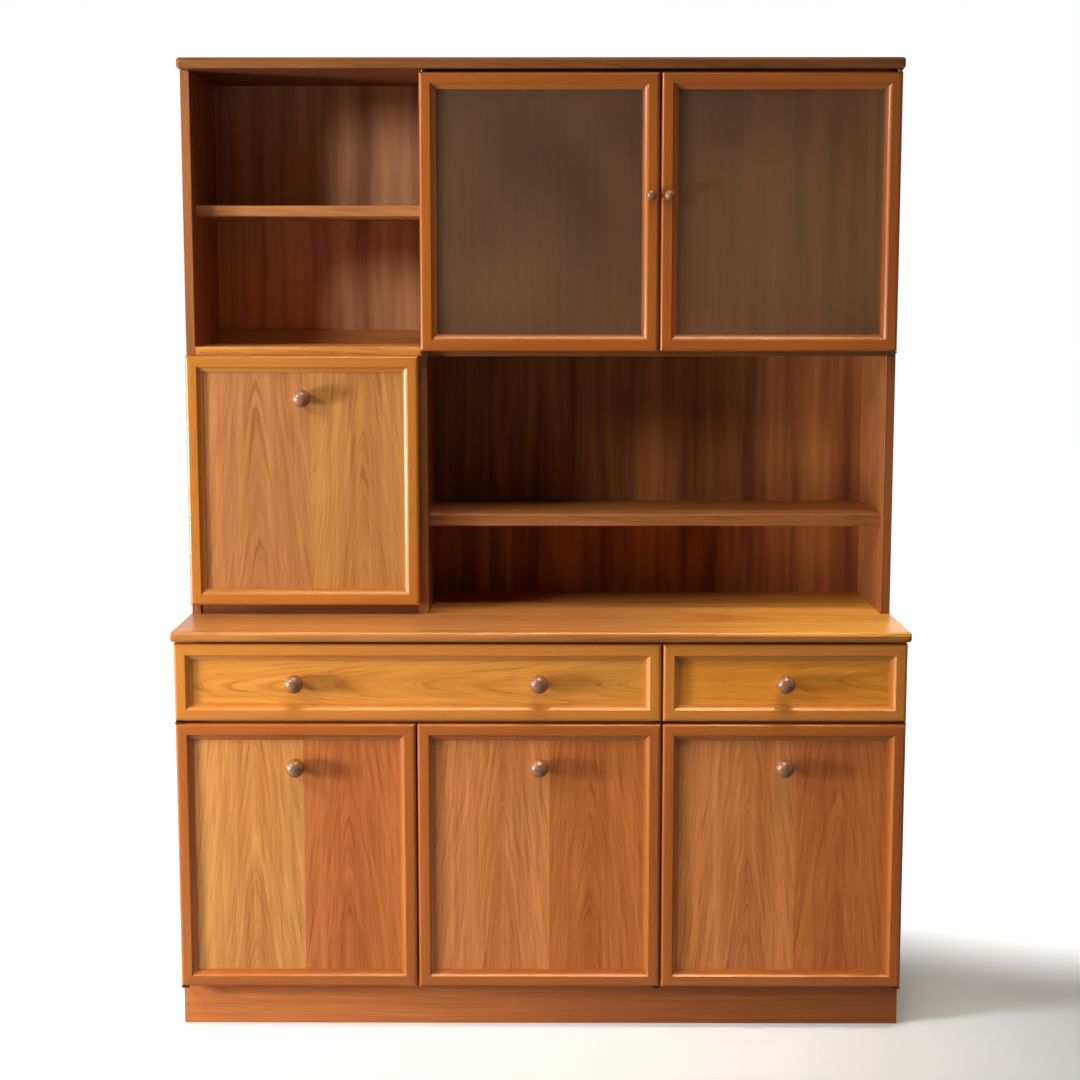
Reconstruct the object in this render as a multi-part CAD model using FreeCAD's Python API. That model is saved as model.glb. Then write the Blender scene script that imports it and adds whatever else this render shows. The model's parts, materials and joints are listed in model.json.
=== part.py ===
"""Dresser with hutch, in millimetres.

A low cupboard with a plinth, two drawers and three panelled doors carries a shallower hutch with an
open bay, a drop-front flap, two glass doors and an open area. Every board, frame, panel, knob, pin
and plate is a solid of its own. The frame: +X to the viewer's right, -Y to the front, +Z up, with
the origin on the floor under the middle of the whole object.
"""
import FreeCAD, Part
import math
import os

Vector = FreeCAD.Vector
X_AXIS = Vector(1, 0, 0)
Y_AXIS = Vector(0, 1, 0)
Z_AXIS = Vector(0, 0, 1)
TOLERANCE = 1e-6

# ---- overall sizes ------------------------------------------------------------------------------
TOTAL_HEIGHT = 1825.0
BASE_HEIGHT = 766.0
CARCASS_WIDTH = 1360.0
BASE_DEPTH = 440.0             # from the base door faces to the rear edges
HUTCH_SETBACK = 180.0          # from the base door faces back to the hutch carcass
PANEL = 18.0                   # carcass boards
BASE_TOP_THICKNESS = 19.0
HUTCH_TOP_THICKNESS = 21.0
BACK_SHEET = 6.0
BACK_INSET = 10.0              # rear edges behind the back sheets
BASE_TOP_SIDE_OVERHANG = 5.0
BASE_TOP_FRONT_OVERHANG = 5.0
HUTCH_TOP_SIDE_OVERHANG = 2.0
HUTCH_TOP_FRONT_OVERHANG = 5.0
TOP_EDGE_RADIUS = 6.0
BOARD_EDGE_RADIUS = 1.5
GROOVE_DEPTH = 5.0             # grooves in the sides that hold the back sheets
HOUSING_DEPTH = 6.0            # housings in the uprights that hold the hutch shelves

# ---- plinth -------------------------------------------------------------------------------------
PLINTH_HEIGHT = 83.0
PLINTH_SETBACK = 10.0          # behind the carcass front
PLINTH_REAR_SETBACK = 20.0

# ---- columns of fronts --------------------------------------------------------------------------
LEFT_COLUMN_WIDTH = 449.5      # outer side to the line between the left and middle doors
RIGHT_COLUMN_WIDTH = 454.5     # outer side to the line between the middle and right doors
FRONT_REVEAL = 1.0             # fronts end this far inside the carcass's outer faces
COLUMN_GAP = 2.5               # between two fronts side by side
FRONT_THICKNESS = 18.0
FRONT_BACK_GAP = 2.5           # between a closed front and the carcass edges
DOOR_BOTTOM_GAP = 1.0
DRAWER_FRONT_HEIGHT = 146.0
DRAWER_TOP_GAP = 4.0
DRAWER_DOOR_GAP = 5.0

# ---- moulded frames -----------------------------------------------------------------------------
FRAME_WIDTH = 32.0
FRAME_ROUND = 6.0              # outer front edge
FRAME_FLAT = 15.0              # flat face between the round and the inner slope
SLOPE_DROP = 7.5               # how far the inner slope falls
SLOPE_HOLLOW = 1.5             # how far the slope sinks below its chord
PANEL_RECESS = 9.0             # frame face to panel face
PANEL_SHEET = 6.0
PANEL_GROOVE = 8.0
GLASS_SHEET = 4.0
BEAD_CLEARANCE = 0.2           # bead's back face inside the frame's
SHEET_CLEARANCE = 0.1          # each side of a sheet in its groove
SHEET_END_CLEARANCE = 0.5

# ---- knobs --------------------------------------------------------------------------------------
KNOB_DIAMETER = 35.0
KNOB_LENGTH = 36.0
KNOB_NECK_DIAMETER = 18.0
KNOB_DROP = 81.0               # knob axis below the top of a door or flap
SMALL_KNOB_DIAMETER = 20.0
SMALL_KNOB_LENGTH = 19.0
SMALL_KNOB_NECK_DIAMETER = 10.0
SMALL_KNOB_INSET = 16.0        # knob axis from the meeting edge of a glass door
SMALL_KNOB_HEIGHT = 1570.0

# ---- pin hinges of the side-hung doors ----------------------------------------------------------
PIN_RADIUS = 2.5
PIN_CLEARANCE = 0.05
PIN_INSERT = 9.0
PIN_FROM_EDGE = 7.0
PIN_FROM_FACE = 7.5
PLATE = 2.0
PLATE_GAP = 1.0
PLATE_HALF_WIDTH = 7.0
PLATE_NOSE = 6.0               # plate in front of the pin's axis

# ---- drawers ------------------------------------------------------------------------------------
BOX_BOARD = 12.0
BOX_END_BOARD = 15.0
BOX_HEIGHT = 120.0
BOX_LENGTH = 382.0
BOX_SIDE_CLEARANCE = 0.8
RUN_CLEARANCE = 0.3
BOTTOM_SHEET = 5.0
BOTTOM_LIFT = 10.0             # drawer bottom above the lower edges of the drawer sides
BOTTOM_GROOVE = 5.0
RAIL_DEPTH = 70.0
RUNNER_WIDTH = 26.0

# ---- cupboard shelves ---------------------------------------------------------------------------
BASE_SHELF_HEIGHT = 340.0      # underside
BASE_SHELF_SETBACK = 30.0
STUD_RADIUS = 2.5
STUD_LENGTH = 15.0
STUD_INSERT = 7.5
STUD_FROM_EDGE = 50.0
SHELF_END_CLEARANCE = 0.5

# ---- hutch --------------------------------------------------------------------------------------
LOWER_DIVIDER_LEFT = -236.0    # left face of the divider under the mid board
UPPER_DIVIDER_LEFT = -229.0    # left face of the divider over the mid board
MID_BOARD_BOTTOM = 1267.0
BAY_SHELF_BOTTOM = 1534.0
BAY_SHELF_THICKNESS = 20.0
BAY_SHELF_SETBACK = 35.0
OPEN_SHELF_BOTTOM = 936.0
OPEN_SHELF_THICKNESS = 23.0
OPEN_SHELF_SETBACK = 20.0
BAY_RAIL_HEIGHT = 27.0
BAY_RAIL_THICKNESS = 12.0
GLASS_DOOR_TOP_GAP = 5.0
GLASS_DOOR_LAP = 8.0           # how far the glass doors cover the mid board's edge
GLASS_DOOR_SIDE_REVEAL = 1.5
GLASS_COLUMN_GAP = 3.0

# ---- drop-front flap ----------------------------------------------------------------------------
FLAP_TOP_LAP = 1.5             # how far the flap covers the mid board's edge
FLAP_SIDE_LAP = 2.5            # how far the flap covers the lower divider's edge
FLAP_REST_GAP = 1.0            # between the open flap and the base top
FLAP_TOE = 1.0                 # flap below its hinge axis
FLAP_AXIS_GAP = 1.5            # hinge axis behind the flap's inner face
HINGE_BARREL_RADIUS = 2.5
HINGE_PIN_RADIUS = 1.2
HINGE_LENGTH = 60.0
HINGE_LEAF = 1.2
HINGE_LEAF_WIDTH = 20.0
HINGE_FROM_END = 70.0
HINGE_JOINT_GAP = 0.3
HINGE_RELIEF = 0.3
HUTCH_FLOOR_SETBACK = 2.0

# ---- catches and dowels -------------------------------------------------------------------------
CATCH_WIDTH = 40.0
CATCH_HEIGHT = 12.0
CATCH_DEPTH = 16.0
CATCH_GAP = 0.3                # between a catch and the closed front
CATCH_FROM_EDGE = 12.0
DOWEL_RADIUS = 4.0
DOWEL_IN_TOP = 12.0
DOWEL_IN_SIDE = 20.0
DOWEL_FROM_EDGE = 40.0
DOWEL_CLEARANCE = 0.05

# ---- planes worked out from the sizes above -----------------------------------------------------
KNOB_PROUD = KNOB_LENGTH - PANEL_RECESS - SHEET_CLEARANCE
FRONT_REACH = max(KNOB_PROUD, BASE_TOP_FRONT_OVERHANG)
FACE_Y = (FRONT_REACH - BASE_DEPTH) / 2          # faces of the base doors and drawers
BASE_FRONT_Y = FACE_Y + FRONT_THICKNESS + FRONT_BACK_GAP
REAR_Y = FACE_Y + BASE_DEPTH
BACK_Y = REAR_Y - BACK_INSET - BACK_SHEET        # front faces of the back sheets
HUTCH_FRONT_Y = FACE_Y + HUTCH_SETBACK
HUTCH_FACE_Y = HUTCH_FRONT_Y - FRONT_BACK_GAP - FRONT_THICKNESS
HALF_WIDTH = CARCASS_WIDTH / 2
INNER_X = HALF_WIDTH - PANEL
LEFT_LINE = -HALF_WIDTH + LEFT_COLUMN_WIDTH
RIGHT_LINE = HALF_WIDTH - RIGHT_COLUMN_WIDTH

BASE_TOP_BOTTOM = BASE_HEIGHT - BASE_TOP_THICKNESS
HUTCH_TOP_BOTTOM = TOTAL_HEIGHT - HUTCH_TOP_THICKNESS
DRAWER_TOP = BASE_TOP_BOTTOM - DRAWER_TOP_GAP
DRAWER_BOTTOM = DRAWER_TOP - DRAWER_FRONT_HEIGHT
DOOR_TOP = DRAWER_BOTTOM - DRAWER_DOOR_GAP
DOOR_BOTTOM = PLINTH_HEIGHT + DOOR_BOTTOM_GAP
BASE_FLOOR = PLINTH_HEIGHT + PANEL               # upper face of the base bottom board
RAIL_TOP = DOOR_TOP + PANEL / 2
RAIL_BOTTOM = RAIL_TOP - PANEL
BOX_BOTTOM = RAIL_TOP + RUN_CLEARANCE
BOX_TOP = BOX_BOTTOM + BOX_HEIGHT
PARTITION_LEFT = RIGHT_LINE - PANEL / 2
PARTITION_RIGHT = RIGHT_LINE + PANEL / 2

MID_BOARD_TOP = MID_BOARD_BOTTOM + PANEL
FLAP_AXIS_Y = HUTCH_FACE_Y + FRONT_THICKNESS + FLAP_AXIS_GAP
FLAP_AXIS_Z = BASE_HEIGHT + FLAP_REST_GAP + FRONT_THICKNESS + FLAP_AXIS_GAP
HUTCH_FLOOR_TOP = FLAP_AXIS_Z - HINGE_BARREL_RADIUS
LOWER_DIVIDER_RIGHT = LOWER_DIVIDER_LEFT + PANEL
UPPER_DIVIDER_RIGHT = UPPER_DIVIDER_LEFT + PANEL
GLASS_BOTTOM = MID_BOARD_TOP - GLASS_DOOR_LAP
GLASS_TOP = HUTCH_TOP_BOTTOM - GLASS_DOOR_TOP_GAP


def box(x0, x1, y0, y1, z0, z1):
    """A block between two corners."""
    return Part.makeBox(x1 - x0, y1 - y0, z1 - z0, Vector(x0, y0, z0))


def rod(x, y, z0, z1, radius):
    """An upright cylinder."""
    return Part.makeCylinder(radius, z1 - z0, Vector(x, y, z0), Z_AXIS)


def cross_rod(x0, x1, y, z, radius):
    """A cylinder along X."""
    return Part.makeCylinder(radius, x1 - x0, Vector(x0, y, z), X_AXIS)


def polygon_prism(points, push):
    """A solid made by pushing a closed polygon along a vector."""
    corners = [Vector(*point) for point in points]
    return Part.Face(Part.makePolygon(corners + corners[:1])).extrude(push)


def round_edges(solid, radius, wanted):
    """Fillets the straight edges whose middle and direction satisfy the test."""
    edges = []
    for edge in solid.Edges:
        start, end = edge.Vertexes[0].Point, edge.Vertexes[-1].Point
        if wanted((start + end) / 2, end - start):
            edges.append(edge)
    return solid.makeFillet(radius, edges)


def soften_front(board, front_y):
    """Rounds a board's two long front edges."""
    def on_front(middle, along):
        upright = abs(along.z) > max(abs(along.x), abs(along.y))
        level = abs(along.x) > max(abs(along.z), abs(along.y))
        size = board.BoundBox
        tall = size.ZLength > size.XLength
        return abs(middle.y - front_y) < TOLERANCE and (upright if tall else level)
    return round_edges(board, BOARD_EDGE_RADIUS, on_front)


# ---- moulded frames -----------------------------------------------------------------------------
def moulding_outline(sheet):
    """The frame's section: u from the outer edge inwards, w back from the front face.

    The outer front corner is round, the inner side falls to the panel in a hollow, and a groove (or, for
    glass, a rebate open to the back) of the sheet's thickness holds the sheet's edge.
    """
    slope_u = FRAME_ROUND + FRAME_FLAT
    run = FRAME_WIDTH - slope_u
    chord = math.hypot(run, SLOPE_DROP)
    middle = (slope_u + run / 2 - SLOPE_HOLLOW * SLOPE_DROP / chord,
              SLOPE_DROP / 2 + SLOPE_HOLLOW * run / chord)
    corner = FRAME_ROUND * (1 - math.sqrt(0.5))
    groove_u = FRAME_WIDTH - PANEL_GROOVE

    def at(u, w):
        return Vector(0, w, u)

    front = [
        Part.Arc(at(0, FRAME_ROUND), at(corner, corner), at(FRAME_ROUND, 0)).toShape(),
        Part.LineSegment(at(FRAME_ROUND, 0), at(slope_u, 0)).toShape(),
        Part.Arc(at(slope_u, 0), at(*middle), at(FRAME_WIDTH, SLOPE_DROP)).toShape(),
    ]
    if sheet == "panel":
        groove_w = PANEL_RECESS + PANEL_SHEET + 2 * SHEET_CLEARANCE
        inner = [(FRAME_WIDTH, SLOPE_DROP), (FRAME_WIDTH, PANEL_RECESS), (groove_u, PANEL_RECESS),
                 (groove_u, groove_w), (FRAME_WIDTH, groove_w), (FRAME_WIDTH, FRONT_THICKNESS)]
    else:
        inner = [(FRAME_WIDTH, SLOPE_DROP), (FRAME_WIDTH, PANEL_RECESS), (groove_u, PANEL_RECESS),
                 (groove_u, FRONT_THICKNESS)]
    rest = inner + [(0, FRONT_THICKNESS), (0, FRAME_ROUND)]
    lines = [Part.LineSegment(at(*a), at(*b)).toShape() for a, b in zip(rest, rest[1:])]
    return Part.Face(Part.Wire(front + lines))


def rectangle_outline(width, w0, w1):
    """A plain strip's section, in the same two directions as the moulding's."""
    corners = [Vector(0, w0, 0), Vector(0, w1, 0), Vector(0, w1, width), Vector(0, w0, width)]
    return Part.Face(Part.makePolygon(corners + corners[:1]))


def mitred_member(outline, width, length):
    """One strip along +X with both ends cut at 45 degrees towards its inner edge (+Z)."""
    strip = outline.extrude(Vector(length, 0, 0))
    deep = FRONT_THICKNESS
    keep = polygon_prism([(0, 0, 0), (length, 0, 0), (length - width, 0, width), (width, 0, width)],
                         Vector(0, deep, 0))
    return strip.common(keep).Solids[0]


def mitred_frame(outline, width, x0, x1, z0, z1, face_y):
    """Bottom, right, top and left members that meet at mitred corners."""
    members = []
    across, up = x1 - x0, z1 - z0
    for length, turn, start in ((across, 0, (x0, z0)), (up, -90, (x1, z0)),
                                (across, 180, (x1, z1)), (up, 90, (x0, z1))):
        member = mitred_member(outline, width, length)
        member.rotate(Vector(0, 0, 0), Y_AXIS, turn)
        member.translate(Vector(start[0], face_y, start[1]))
        members.append(member)
    return members


def panelled_front(x0, x1, z0, z1, face_y):
    """The four frame members and the recessed panel of a door, drawer front or flap."""
    frame = mitred_frame(moulding_outline("panel"), FRAME_WIDTH, x0, x1, z0, z1, face_y)
    inset = FRAME_WIDTH - PANEL_GROOVE + SHEET_END_CLEARANCE
    panel_y = face_y + PANEL_RECESS + SHEET_CLEARANCE
    panel = box(x0 + inset, x1 - inset, panel_y, panel_y + PANEL_SHEET, z0 + inset, z1 - inset)
    return frame, panel


def knob(x, z, seat_y, diameter, length, neck_diameter):
    """A turned knob whose neck stands on the plane seat_y and whose ball points to -Y."""
    radius = diameter / 2
    neck = neck_diameter / 2
    centre = length - radius
    throat = centre - math.sqrt(radius ** 2 - neck ** 2)

    def at(r, out):
        return Vector(r, -out, 0)

    lean = (math.pi / 2 + math.asin(neck / radius)) / 2
    side = at(radius * math.sin(lean), centre + radius * math.cos(lean))
    edges = [
        Part.LineSegment(at(0, 0), at(neck, 0)).toShape(),
        Part.LineSegment(at(neck, 0), at(neck, throat)).toShape(),
        Part.Arc(at(neck, throat), at(radius, centre), side).toShape(),
        Part.Arc(side, at(radius * math.sin(lean / 2), centre + radius * math.cos(lean / 2)),
                 at(0, length)).toShape(),
        Part.LineSegment(at(0, length), at(0, 0)).toShape(),
    ]
    turned = Part.Face(Part.Wire(edges)).revolve(Vector(0, 0, 0), Y_AXIS, 360)
    turned.translate(Vector(x, seat_y, z))
    return Part.Solid(turned) if turned.ShapeType == "Shell" else turned


def large_knob(x, z, face_y):
    """A knob on the recessed panel of a front."""
    seat = face_y + PANEL_RECESS + SHEET_CLEARANCE
    return knob(x, z, seat, KNOB_DIAMETER, KNOB_LENGTH, KNOB_NECK_DIAMETER)


# ---- base cupboard ------------------------------------------------------------------------------
def plinth():
    """Front and back boards with two end boards between them."""
    front = BASE_FRONT_Y + PLINTH_SETBACK
    rear = REAR_Y - PLINTH_REAR_SETBACK
    boards = [box(-HALF_WIDTH, HALF_WIDTH, front, front + PANEL, 0, PLINTH_HEIGHT),
              box(-HALF_WIDTH, HALF_WIDTH, rear - PANEL, rear, 0, PLINTH_HEIGHT)]
    for x0 in (-HALF_WIDTH, INNER_X):
        boards.append(box(x0, x0 + PANEL, front + PANEL, rear - PANEL, 0, PLINTH_HEIGHT))
    return boards


def dowel_places():
    """The centres of the dowels under the hutch sides."""
    xs = (-HALF_WIDTH + PANEL / 2, HALF_WIDTH - PANEL / 2)
    ys = (HUTCH_FRONT_Y + DOWEL_FROM_EDGE, REAR_Y - DOWEL_FROM_EDGE)
    return [(x, y) for x in xs for y in ys]


def dowels():
    """Round dowels half in the base top and half in the hutch sides."""
    low, high = BASE_HEIGHT - DOWEL_IN_TOP, BASE_HEIGHT + DOWEL_IN_SIDE
    return [rod(x, y, low, high, DOWEL_RADIUS) for x, y in dowel_places()]


def cut_dowel_holes(board):
    """Bores a board where the dowels enter it."""
    low = BASE_HEIGHT - DOWEL_IN_TOP - DOWEL_CLEARANCE
    high = BASE_HEIGHT + DOWEL_IN_SIDE + DOWEL_CLEARANCE
    for x, y in dowel_places():
        board = board.cut(rod(x, y, low, high, DOWEL_RADIUS + DOWEL_CLEARANCE))
    return board


def base_top():
    """The overhanging top board, rounded along its front and its ends."""
    half = HALF_WIDTH + BASE_TOP_SIDE_OVERHANG
    front = FACE_Y - BASE_TOP_FRONT_OVERHANG
    board = box(-half, half, front, REAR_Y, BASE_TOP_BOTTOM, BASE_HEIGHT)
    board = round_top_edges(board, half, front)
    return cut_dowel_holes(board)


def round_top_edges(board, half, front):
    """Rounds the upper and lower edges of a top board along its front and both ends."""
    def wanted(middle, along):
        at_front = abs(middle.y - front) < TOLERANCE and abs(along.x) > TOLERANCE
        at_end = abs(abs(middle.x) - half) < TOLERANCE and abs(along.y) > TOLERANCE
        at_corner = abs(middle.y - front) < TOLERANCE and abs(along.z) > TOLERANCE
        return at_front or at_end or at_corner
    return round_edges(board, TOP_EDGE_RADIUS, wanted)


def base_bays():
    """The double and the single bay between the base's uprights, by their left and right walls."""
    return ((-INNER_X, PARTITION_LEFT), (PARTITION_RIGHT, INNER_X))


def shelf_studs(radius, extra):
    """Round studs in the uprights just under the cupboard shelves; extra lengthens them as cutters."""
    front = BASE_FRONT_Y + BASE_SHELF_SETBACK
    z = BASE_SHELF_HEIGHT - STUD_RADIUS
    proud = STUD_LENGTH - STUD_INSERT
    studs = []
    for left, right in base_bays():
        for y in (front + STUD_FROM_EDGE, BACK_Y - STUD_FROM_EDGE):
            studs.append(cross_rod(left - STUD_INSERT - extra, left + proud, y, z, radius))
            studs.append(cross_rod(right - proud, right + STUD_INSERT + extra, y, z, radius))
    return studs


def cut_stud_holes(board):
    """Bores a board where the shelf studs enter it."""
    for cutter in shelf_studs(STUD_RADIUS + PIN_CLEARANCE, SHELF_END_CLEARANCE):
        if cutter.BoundBox.intersect(board.BoundBox):
            board = board.cut(cutter)
    return board


def base_shelves():
    """One loose shelf on studs in each cupboard."""
    front = BASE_FRONT_Y + BASE_SHELF_SETBACK
    return [box(left + SHELF_END_CLEARANCE, right - SHELF_END_CLEARANCE, front,
                BACK_Y - SHELF_END_CLEARANCE, BASE_SHELF_HEIGHT, BASE_SHELF_HEIGHT + PANEL)
            for left, right in base_bays()]


def side_board(left, front_y, z0, z1):
    """An end board with a groove for the back sheet, rounded along its front."""
    x0 = -HALF_WIDTH if left else INNER_X
    board = soften_front(box(x0, x0 + PANEL, front_y, REAR_Y, z0, z1), front_y)
    reach = INNER_X + GROOVE_DEPTH
    return board.cut(box(-reach, reach, BACK_Y, BACK_Y + BACK_SHEET, z0, z1))


def back_sheet(z0, z1):
    """A thin back that runs into the grooves of both end boards."""
    reach = INNER_X + GROOVE_DEPTH
    return box(-reach, reach, BACK_Y, BACK_Y + BACK_SHEET, z0, z1)


def drawer_rails():
    """The cross rails at the front, between the doors and the drawers."""
    return [box(left, right, BASE_FRONT_Y, BASE_FRONT_Y + RAIL_DEPTH, RAIL_BOTTOM, RAIL_TOP)
            for left, right in base_bays()]


def drawer_runners():
    """Under each drawer side a runner, and over it a kicker that stops the drawer tipping."""
    strips = []
    for left, right in base_bays():
        for x0 in (left, right - RUNNER_WIDTH):
            x1 = x0 + RUNNER_WIDTH
            strips.append(box(x0, x1, BASE_FRONT_Y + RAIL_DEPTH, BACK_Y, RAIL_BOTTOM, RAIL_TOP))
            strips.append(box(x0, x1, BASE_FRONT_Y, BACK_Y, BOX_TOP + RUN_CLEARANCE,
                              BASE_TOP_BOTTOM))
    return strips


def base_cupboard():
    """Every fixed piece of the base."""
    bottom = soften_front(box(-INNER_X, INNER_X, BASE_FRONT_Y, BACK_Y, PLINTH_HEIGHT, BASE_FLOOR),
                          BASE_FRONT_Y)
    partition = box(PARTITION_LEFT, PARTITION_RIGHT, BASE_FRONT_Y, BACK_Y, BASE_FLOOR,
                    BASE_TOP_BOTTOM)
    return {
        "plinth": plinth(),
        "base_side_left": [cut_stud_holes(side_board(True, BASE_FRONT_Y, PLINTH_HEIGHT,
                                                     BASE_TOP_BOTTOM))],
        "base_side_right": [cut_stud_holes(side_board(False, BASE_FRONT_Y, PLINTH_HEIGHT,
                                                      BASE_TOP_BOTTOM))],
        "base_bottom": [bottom],
        "base_partition": [cut_stud_holes(partition)],
        "base_back": [back_sheet(PLINTH_HEIGHT, BASE_TOP_BOTTOM)],
        "base_top": [base_top()],
        "drawer_rails": drawer_rails(),
        "drawer_runners": drawer_runners(),
        "base_shelves": base_shelves(),
        "base_shelf_studs": shelf_studs(STUD_RADIUS, 0),
    }


# ---- pin hinges ---------------------------------------------------------------------------------
def pivot_hole(x, face_y, z_edge, inwards):
    """The bore in a door's end for a pin; inwards is +1 from the bottom edge, -1 from the top."""
    y = face_y + PIN_FROM_FACE
    deep = z_edge + inwards * (PIN_INSERT + PLATE_GAP)
    low, high = sorted((z_edge - inwards * PLATE_GAP, deep))
    return rod(x, y, low, high, PIN_RADIUS + PIN_CLEARANCE)


def pivot_plate(x, face_y, z_edge, inwards, seat_y, leg):
    """A plate past a door's end with its pin; leg is the height of its flange behind, or 0."""
    y = face_y + PIN_FROM_FACE
    near = z_edge - inwards * PLATE_GAP
    low, high = sorted((near, near - inwards * PLATE))
    rear = seat_y if leg else seat_y + PIN_FROM_FACE
    solid = box(x - PLATE_HALF_WIDTH, x + PLATE_HALF_WIDTH, y - PLATE_NOSE, rear, low, high)
    tip = z_edge + inwards * PIN_INSERT
    pin_low, pin_high = sorted((near - inwards * PLATE, tip))
    solid = solid.fuse(rod(x, y, pin_low, pin_high, PIN_RADIUS))
    if leg:
        flange_low, flange_high = sorted((near, near - inwards * leg))
        solid = solid.fuse(box(x - PLATE_HALF_WIDTH, x + PLATE_HALF_WIDTH, seat_y - PLATE, seat_y,
                               flange_low, flange_high))
    return solid.removeSplitter()


def bored_for_pins(members, x, face_y, z0, z1):
    """Frame members with the pin bores of one hinge line cut out of both ends."""
    for z_edge, inwards in ((z0, 1), (z1, -1)):
        hole = pivot_hole(x, face_y, z_edge, inwards)
        members = [member.cut(hole).Solids[0] for member in members]
    return members


# ---- base doors and drawers ---------------------------------------------------------------------
def door_spans():
    """Left edge, right edge and pin line of each base door."""
    left_edge = -HALF_WIDTH + FRONT_REVEAL
    right_edge = HALF_WIDTH - FRONT_REVEAL
    half_gap = COLUMN_GAP / 2
    return {
        "door_left": (left_edge, LEFT_LINE - half_gap, left_edge + PIN_FROM_EDGE),
        "door_middle": (LEFT_LINE + half_gap, RIGHT_LINE - half_gap,
                        RIGHT_LINE - half_gap - PIN_FROM_EDGE),
        "door_right": (RIGHT_LINE + half_gap, right_edge, right_edge - PIN_FROM_EDGE),
    }


def base_doors():
    """Frame, panel and knob of each base door."""
    nodes = {}
    for name, (x0, x1, pin_x) in door_spans().items():
        frame, panel = panelled_front(x0, x1, DOOR_BOTTOM, DOOR_TOP, FACE_Y)
        nodes[name + "_frame"] = bored_for_pins(frame, pin_x, FACE_Y, DOOR_BOTTOM, DOOR_TOP)
        nodes[name + "_panel"] = [panel]
        nodes[name + "_knob"] = [large_knob((x0 + x1) / 2, DOOR_TOP - KNOB_DROP, FACE_Y)]
    return nodes


def base_door_pivots():
    """Flanged plates over the base doors and flat plates under them."""
    plates = []
    leg = RAIL_TOP - DOOR_TOP - 2 * PLATE_GAP
    for _, _, pin_x in door_spans().values():
        plates.append(pivot_plate(pin_x, FACE_Y, DOOR_TOP, -1, BASE_FRONT_Y, leg))
        plates.append(pivot_plate(pin_x, FACE_Y, DOOR_BOTTOM, 1, BASE_FRONT_Y, 0))
    return plates


def drawer(name, x0, x1, wall_left, wall_right, knob_xs):
    """A framed front on a box of two sides, two ends and a bottom in grooves."""
    frame, panel = panelled_front(x0, x1, DRAWER_BOTTOM, DRAWER_TOP, FACE_Y)
    box_x0 = wall_left + BOX_SIDE_CLEARANCE
    box_x1 = wall_right - BOX_SIDE_CLEARANCE
    front = FACE_Y + FRONT_THICKNESS
    rear = front + BOX_LENGTH
    in_x0 = box_x0 + BOX_BOARD
    in_x1 = box_x1 - BOX_BOARD
    sheet_z = BOX_BOTTOM + BOTTOM_LIFT
    sheet = box(in_x0 - BOTTOM_GROOVE, in_x1 + BOTTOM_GROOVE, front + BOX_END_BOARD - BOTTOM_GROOVE,
                rear, sheet_z, sheet_z + BOTTOM_SHEET)
    sides = [box(box_x0, in_x0, front, rear, BOX_BOTTOM, BOX_TOP),
             box(in_x1, box_x1, front, rear, BOX_BOTTOM, BOX_TOP)]
    ends = [box(in_x0, in_x1, front, front + BOX_END_BOARD, BOX_BOTTOM, BOX_TOP),
            box(in_x0, in_x1, rear - BOX_END_BOARD, rear, sheet_z + BOTTOM_SHEET, BOX_TOP)]
    knob_z = (DRAWER_BOTTOM + DRAWER_TOP) / 2
    knobs = [large_knob(x, knob_z, FACE_Y) for x in knob_xs]
    return {
        name + "_frame": frame,
        name + "_panel": [panel],
        name + "_sides": [side.cut(sheet) for side in sides],
        name + "_ends": [ends[0].cut(sheet), ends[1]],
        name + "_bottom": [sheet],
        name + ("_knobs" if len(knobs) > 1 else "_knob"): knobs,
    }


def drawers():
    """The long drawer over two doors and the short one over the third."""
    spans = door_spans()
    centres = {name: (x0 + x1) / 2 for name, (x0, x1, _) in spans.items()}
    long_bay, short_bay = base_bays()
    nodes = drawer("drawer_long", spans["door_left"][0], spans["door_middle"][1], *long_bay,
                   (centres["door_left"], centres["door_middle"]))
    nodes.update(drawer("drawer_short", spans["door_right"][0], spans["door_right"][1], *short_bay,
                        (centres["door_right"],)))
    return nodes


# ---- hutch --------------------------------------------------------------------------------------
def hutch_shelf(left_wall, right_wall, setback, bottom, thickness):
    """A shelf housed in the uprights at both ends."""
    front = HUTCH_FRONT_Y + setback
    board = box(left_wall - HOUSING_DEPTH, right_wall + HOUSING_DEPTH, front, BACK_Y, bottom,
                bottom + thickness)
    return soften_front(board, front)


def housing(shelf):
    """The square-cornered cutter for a shelf's housings."""
    size = shelf.BoundBox
    return box(size.XMin, size.XMax, size.YMin, size.YMax, size.ZMin, size.ZMax)


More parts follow.
